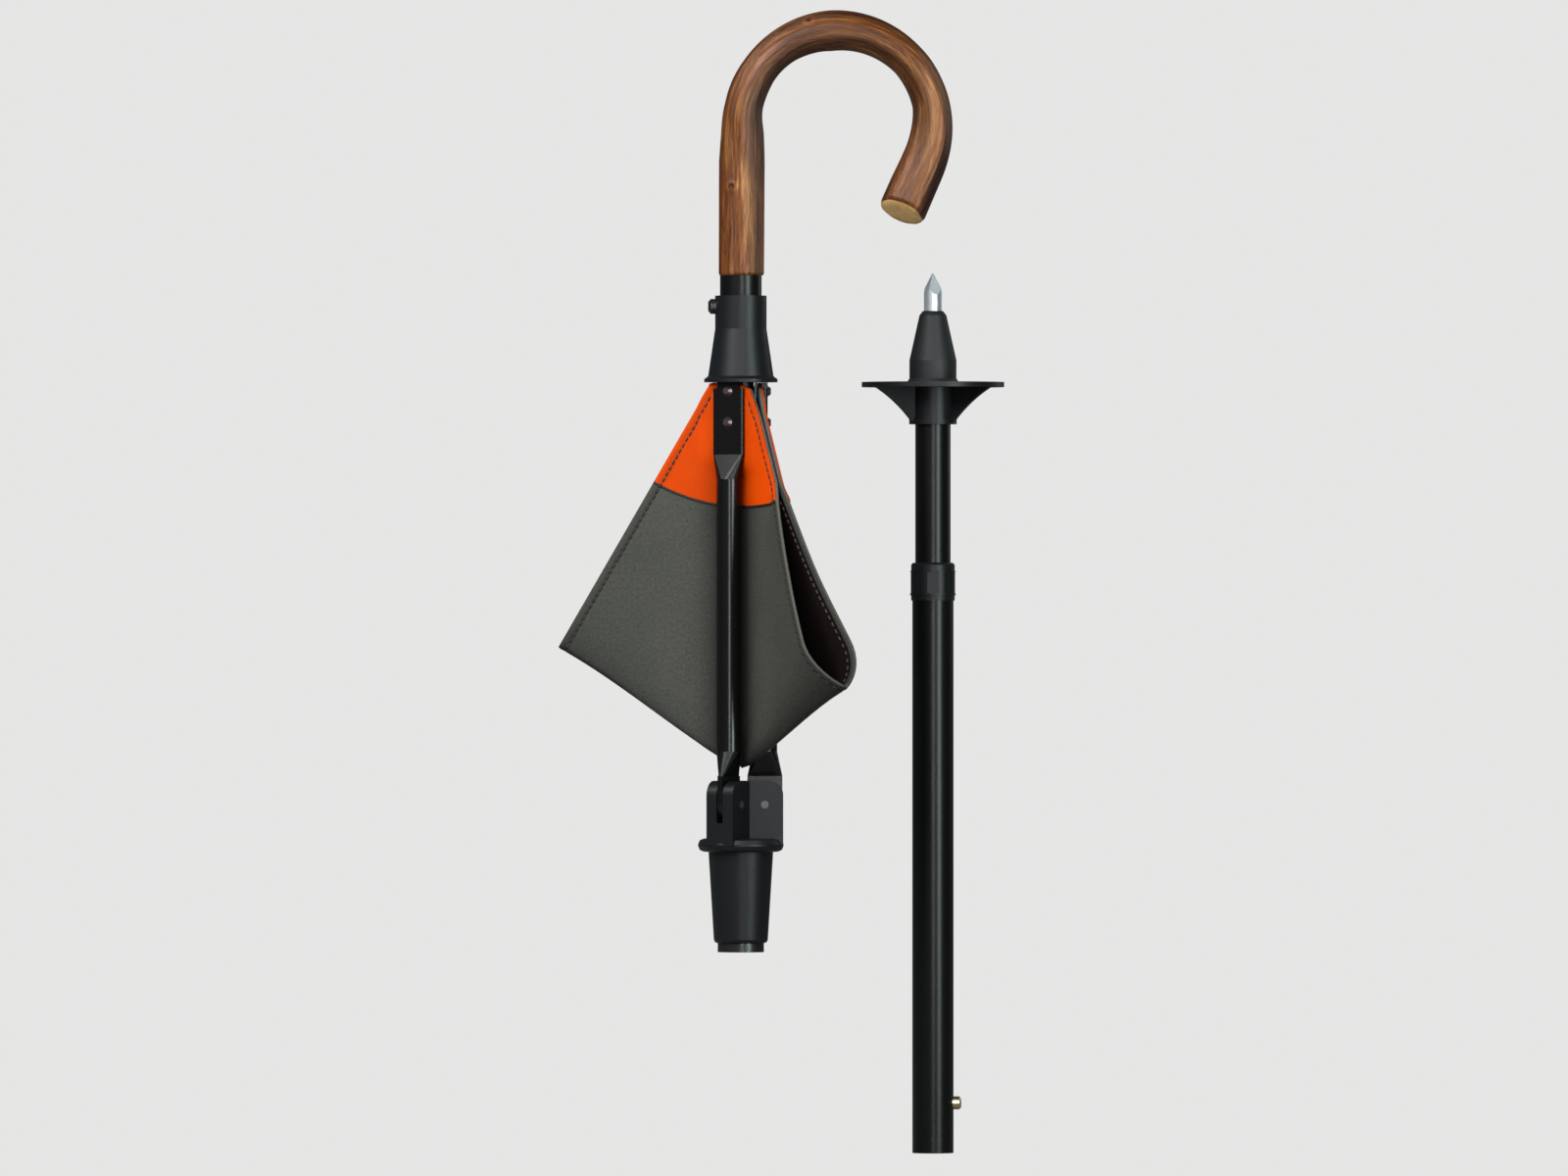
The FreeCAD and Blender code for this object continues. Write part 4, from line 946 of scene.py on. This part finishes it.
def hairpin(low, high):
    """Points and faces of a strip bent like a hairpin, in a box given in mm."""
    bend = (high[0] - low[0] - SPRING_THICK) / 2
    crown = high[2] - bend - SPRING_THICK / 2
    arc = np.linspace(math.pi, 0, SPRING_STEPS)
    rise = np.linspace(low[2], crown, SPRING_STEPS)[:-1]
    leg = np.ones(len(rise))
    out_x = np.concatenate([-leg, np.cos(arc), leg])
    out_z = np.concatenate([leg * 0, np.sin(arc), leg * 0])
    x = (low[0] + high[0]) / 2 + bend * out_x
    z = np.concatenate([rise, crown + bend * np.sin(arc), rise[::-1]])
    half, wide, slant = SPRING_THICK / 2, (high[1] - low[1]) / 2, SPRING_CORNER
    section = [(half, slant - wide), (half, wide - slant), (half - slant, wide),
               (slant - half, wide), (-half, wide - slant), (-half, slant - wide),
               (slant - half, -wide), (half - slant, -wide)]
    points = [(x[i] + out_x[i] * push, (low[1] + high[1]) / 2 + aside,
               z[i] + out_z[i] * push) for i in range(len(x)) for push, aside in section]
    return points, tube_faces(0, len(x), len(section))


cad_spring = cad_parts["leg_button_spring"]
spots = np.array([cad_spring.matrix_world @ Vector(corner)
                  for corner in cad_spring.bound_box]) / MM
spring_low, spring_high = spots.min(0), spots.max(0)
spring = add_mesh("hairpin_spring", *hairpin(spring_low, spring_high), [ground_steel])
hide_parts("leg_button_spring")
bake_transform(spring)
print("spring box", spring_low.round(1), spring_high.round(1))

# %% [markdown]
# ## The crook
# The handle is a chestnut stick bent with steam. Its bark side shows flats and ridges that
# run along it, a few knots, and a squeezed inner side where it bends. A tube swept along the
# centre line gets those forms from a radius that changes along and around the stick. The
# straightened coordinates are stored, so that the grain follows the bend.

# %% Crook centre line
WOOD_LOW = 357.4                # height where the wood starts, mm
KNEE = WOOD_LOW + 79.0          # where the bend starts
BEND = 50.1                     # radius of the bend
NOSE_BEND, NOSE_TURN, NOSE_LENGTH = 58.0, math.radians(24.0), 24.0
NOSE_POINTS = 16
CROOK_STEP = 1.0


def nose_bend(a):
    """Point and direction of the nose's own bend, where it has turned by a."""
    spot = (2 * BEND - NOSE_BEND * (1 - math.cos(a)), KNEE - NOSE_BEND * math.sin(a))
    return spot, (-math.sin(a), -math.cos(a))


def crook_line():
    """Points, directions and lengths along the crook, from the tube to the cut end."""
    line = [((0, z), (0, 1)) for z in np.arange(WOOD_LOW, KNEE, CROOK_STEP)]
    for a in np.arange(0, math.pi, CROOK_STEP / BEND):
        line.append(((BEND - BEND * math.cos(a), KNEE + BEND * math.sin(a)),
                     (math.sin(a), math.cos(a))))
    line += [nose_bend(a) for a in np.arange(0, NOSE_TURN, CROOK_STEP / NOSE_BEND)]
    last, way = (np.array(v) for v in nose_bend(NOSE_TURN))
    line += [(tuple(last + way * k), tuple(way))
             for k in np.linspace(0, NOSE_LENGTH, NOSE_POINTS)]
    spots, ways = (np.array(v) for v in zip(*line))
    steps = np.linalg.norm(np.diff(spots, axis=0), axis=1)
    return spots, ways, np.concatenate([[0], np.cumsum(steps)])


print("the crook is", round(crook_line()[2][-1], 1), "mm long")

# %% Bark, flats and knots
MARKS = [0, 60, 75, 90, 110, 130, 155, 175, 200, 225, 240, 255, 270, 284]
IN_PLANE = [11.9, 11.9, 11.2, 9.9, 9.4, 9.7, 10.8, 10.2, 9.5, 9.9, 11.1, 12.0, 12.4, 12.5]
ASIDE = [0.0, 0.6, 1.0, 0.7, 0.3, 0.0, 0.0, -0.7, -1.4, -1.5, -0.6, 0.3, 0.5, 0.5]
KNOTS = [(47.0, -2.05, 0.6, 2.6), (145.2, -2.34, 0.5, 2.2), (205.0, -2.3, 0.5, 6.0)]
PITS = [knot[:2] for knot in KNOTS[:2]]     # the third knot has grown over
PIT_SIZE, PIT_RING, RING_WIDTH = (1.3, 1.7), 1.7, 0.6
PIT_RADIUS = 11                             # the pits lie this far from the middle
FLATS = (0.24, 0.16, 0.12)                  # height of 5, 9 and 3 flats round it
WRINKLES, WRINKLE_PITCH = 0.28, 7.0         # on the inner side where it first bends
WRINKLE_PLACE, WRINKLE_REACH = 100, 26
# Painted shade for the bends and the stick's outer and inner sides; how much the ridges
# lighten; the knots' rings and pits.
BARK_SHADE_AND_MARKS = {"plain": 0.84, "bends": 0.68, "outer": 0.45, "inner": 0.1, "ridges": 0.22,
              "ring": 0.9, "pit": 0.93}


def turn_between(angle, other):
    """How far one angle lies round from another, from -pi to pi."""
    return (angle - other + math.pi) % (2 * math.pi) - math.pi


def ridge(length, angle):
    """Five ridges that wind slowly round the stick."""
    return math.cos(5 * angle + 0.6 + length / 90)


def crook_radius(length, angle):
    """Radius of the stick: bends squeeze it, and flats run along it round a few knots."""
    narrow = np.interp(length, MARKS, IN_PLANE)
    wide = np.interp(length, [0, 80, 150, 284], [12.0, 11.6, 11.2, 11.8])
    thick = 1 / math.hypot(math.cos(angle) / narrow, math.sin(angle) / wide)
    flats = (FLATS[0] * ridge(length, angle)
             + FLATS[1] * math.cos(9 * angle + length / 35)
             + FLATS[2] * math.sin(3 * angle - length / 50))
    wrinkles = (WRINKLES * math.sin(length / WRINKLE_PITCH + 2.5 * math.sin(angle))
                * hump(length, WRINKLE_PLACE, WRINKLE_REACH)
                * (0.4 + 0.6 * math.cos(angle / 2) ** 2))
    knots = 0
    for place, turn, height, width in KNOTS:
        around = turn_between(angle, turn) * thick
        far = ((length - place) / width) ** 2 + (around / width) ** 2
        knots += height * math.exp(-far) - 1.5 * height * math.exp(-far * 9)
    return thick + flats + wrinkles + knots


def crook_painted_shade_and_marks(length, angle):
    """Painted shade inside the bends and along the stick's sides; knots have a dark pit and a
    light rim.
    """
    bent = np.interp(length, [40, 90, 120, 235, 262], [0.15, 0.9, 1.0, 0.8, 0.2])
    shaded_side = max(0.0, math.cos(angle + 0.25)) ** 0.7
    # painted shade: darker inside the bends, and along the stick's outer and inner sides
    painted_shade_and_tone = BARK_SHADE_AND_MARKS["plain"] - BARK_SHADE_AND_MARKS["bends"] * bent * shaded_side
    painted_shade_and_tone *= 1 - BARK_SHADE_AND_MARKS["outer"] * max(0.0, -math.cos(angle)) ** 5
    painted_shade_and_tone *= 1 - BARK_SHADE_AND_MARKS["inner"] * (1 - bent) * max(0.0, math.cos(angle)) ** 5
    painted_shade_and_tone *= 1 + BARK_SHADE_AND_MARKS["ridges"] * ridge(length, angle)
    for place, turn in PITS:
        around = turn_between(angle, turn) * PIT_RADIUS
        far = math.hypot((length - place) / PIT_SIZE[0], around / PIT_SIZE[1])
        painted_shade_and_tone *= (1 + BARK_SHADE_AND_MARKS["ring"] * hump(far, PIT_RING, RING_WIDTH)
                 - BARK_SHADE_AND_MARKS["pit"] * math.exp(-far ** 4))
    return painted_shade_and_tone


print("knots at", [knot[0] for knot in KNOTS], "mm along the stick")

# %% Crook mesh
CROOK_SIDES = 96
GRAIN_RADIUS = 12.0
NOSE_SLANT, SLANT_REACH = 4.3, 20.0     # the end is cut askew, over its last length
LOW_BEVEL, NOSE_BEVEL = 0.5, 0.7
CUT_RINGS = ((0.94, 0.75), (0.6, 0.85), (0.25, 0.9))    # size, and how far it stands out


def in_depth(pair):
    """A point or direction of the crook's plane as one in space."""
    return np.array([pair[0], 0, pair[1]])


def crook_mesh():
    """The swept stick with a cut, slightly bevelled end."""
    line, ways, length = crook_line()
    total, turns = length[-1], ring_angles(CROOK_SIDES)
    bevels = {0: LOW_BEVEL, len(line) - 1: NOSE_BEVEL}
    points, grain, painted_shade_and_tone = [], [], []
    for i, (spot, way) in enumerate(zip(line, ways)):
        across = np.array([way[1], 0, -way[0]])
        near_end = max(0.0, 1 - (total - length[i]) / SLANT_REACH)
        for a in turns:
            r = float(crook_radius(length[i], a)) - bevels.get(i, 0.0)
            offset = (across * (r * math.cos(a) + np.interp(length[i], MARKS, ASIDE))
                      + np.array([0, 1, 0]) * r * math.sin(a))
            slant = NOSE_SLANT * math.sin(a) * near_end
            points.append(in_depth(spot) + offset + in_depth(way) * slant)
            grain.append((GRAIN_RADIUS * math.cos(a), GRAIN_RADIUS * math.sin(a), length[i]))
            painted_shade_and_tone.append(crook_painted_shade_and_marks(length[i], a))
    end, rim = in_depth(line[-1]), points[-CROOK_SIDES:]
    for shrink, push in CUT_RINGS:
        for a, edge in zip(turns, rim):
            points.append(end + (edge - end) * shrink + in_depth(ways[-1]) * push)
            grain.append((GRAIN_RADIUS * shrink * math.cos(a),
                          GRAIN_RADIUS * shrink * math.sin(a), total + push))
            painted_shade_and_tone.append(1.0)
    faces = tube_faces(0, len(line) + len(CUT_RINGS), CROOK_SIDES, inward=True)
    bark = (len(line) - 1) * CROOK_SIDES
    return points, faces, [0] * bark + [1] * (len(faces) - bark), grain, painted_shade_and_tone


print("a ring of the crook has", CROOK_SIDES, "points")

# %% Wood finishes
GRAIN_LENGTH = 0.075        # the grain's pattern is drawn out by one over this
STREAKS = (230.0, 6.0, 0.66, 0.5)   # scale, detail, roughness and bending
FINE_STREAKS = (900.0, 4.0, 0.7)
FINE_SHARE = 0.45           # of the fine streaks, next to the broad ones
WOOD_BUMP = 0.002           # height of the grain at full strength, m
WARM_SHINE = (1.0, 0.66, 0.52, 1)


def wood_material(name, stops, roughness, streak=1.0, coat=0.0):
    """Varnished wood: noise drawn out along the grain picks colours from a ramp."""
    made, tree, shader = new_material(name, {
        "Coat Weight": coat, "Coat Roughness": 0.2, "Specular IOR Level": 0.5,
        "Specular Tint": WARM_SHINE})
    drawn = stretched(tree, kept_on_mesh(tree, "grain", "Vector"),
                      (1, 1, GRAIN_LENGTH / streak))
    broad = noise_of(tree, drawn, *STREAKS)
    fine = noise_of(tree, drawn, *FINE_STREAKS)
    both = combined(tree, "MULTIPLY_ADD", fine, FINE_SHARE, broad)
    ramp = node_of(tree, "ShaderNodeValToRGB")
    while len(ramp.color_ramp.elements) < len(stops):
        ramp.color_ramp.elements.new(0.5)
    for element, (place, colour) in zip(ramp.color_ramp.elements, stops):
        element.position = place
        element.color = (*colour, 1.0)
    tree.links.new(both, ramp.inputs["Fac"])
    # the painted shade and knot marks kept on the mesh scale the colour
    toned = shaded(tree, ramp.outputs["Color"], kept_on_mesh(tree, "painted_shade_and_tone", "Fac"))
    tree.links.new(toned, shader.inputs["Base Color"])
    rough = remap(tree, fine, (roughness - 0.1, roughness + 0.12))
    tree.links.new(rough, shader.inputs["Roughness"])
    bump_on(tree, shader, both, 0.5, WOOD_BUMP)
    return made


chestnut = wood_material("chestnut_bark", [
    (0.52, (0.022, 0.0055, 0.002)), (0.64, (0.125, 0.033, 0.006)),
    (0.76, (0.270, 0.084, 0.015)), (0.92, (0.60, 0.28, 0.08))], 0.32)
end_wood = wood_material("cut_wood", [
    (0.40, (0.62, 0.33, 0.10)), (0.60, (0.80, 0.46, 0.15)),
    (0.85, (0.88, 0.58, 0.22))], 0.5, streak=0.2, coat=0.1)
print("woods", chestnut.name, end_wood.name)

# %% Crook
points, faces, indices, grain, painted_shade_and_tone = crook_mesh()
crook = add_mesh("crook_wood", points, faces, [chestnut, end_wood], indices)
keep_on_mesh(crook.data, "painted_shade_and_tone", "FLOAT", "value", painted_shade_and_tone)
keep_on_mesh(crook.data, "grain", "FLOAT_VECTOR", "vector", np.array(grain) * MM)
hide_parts("crook")
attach(crook, "handle")
print("crook", len(points), "points")
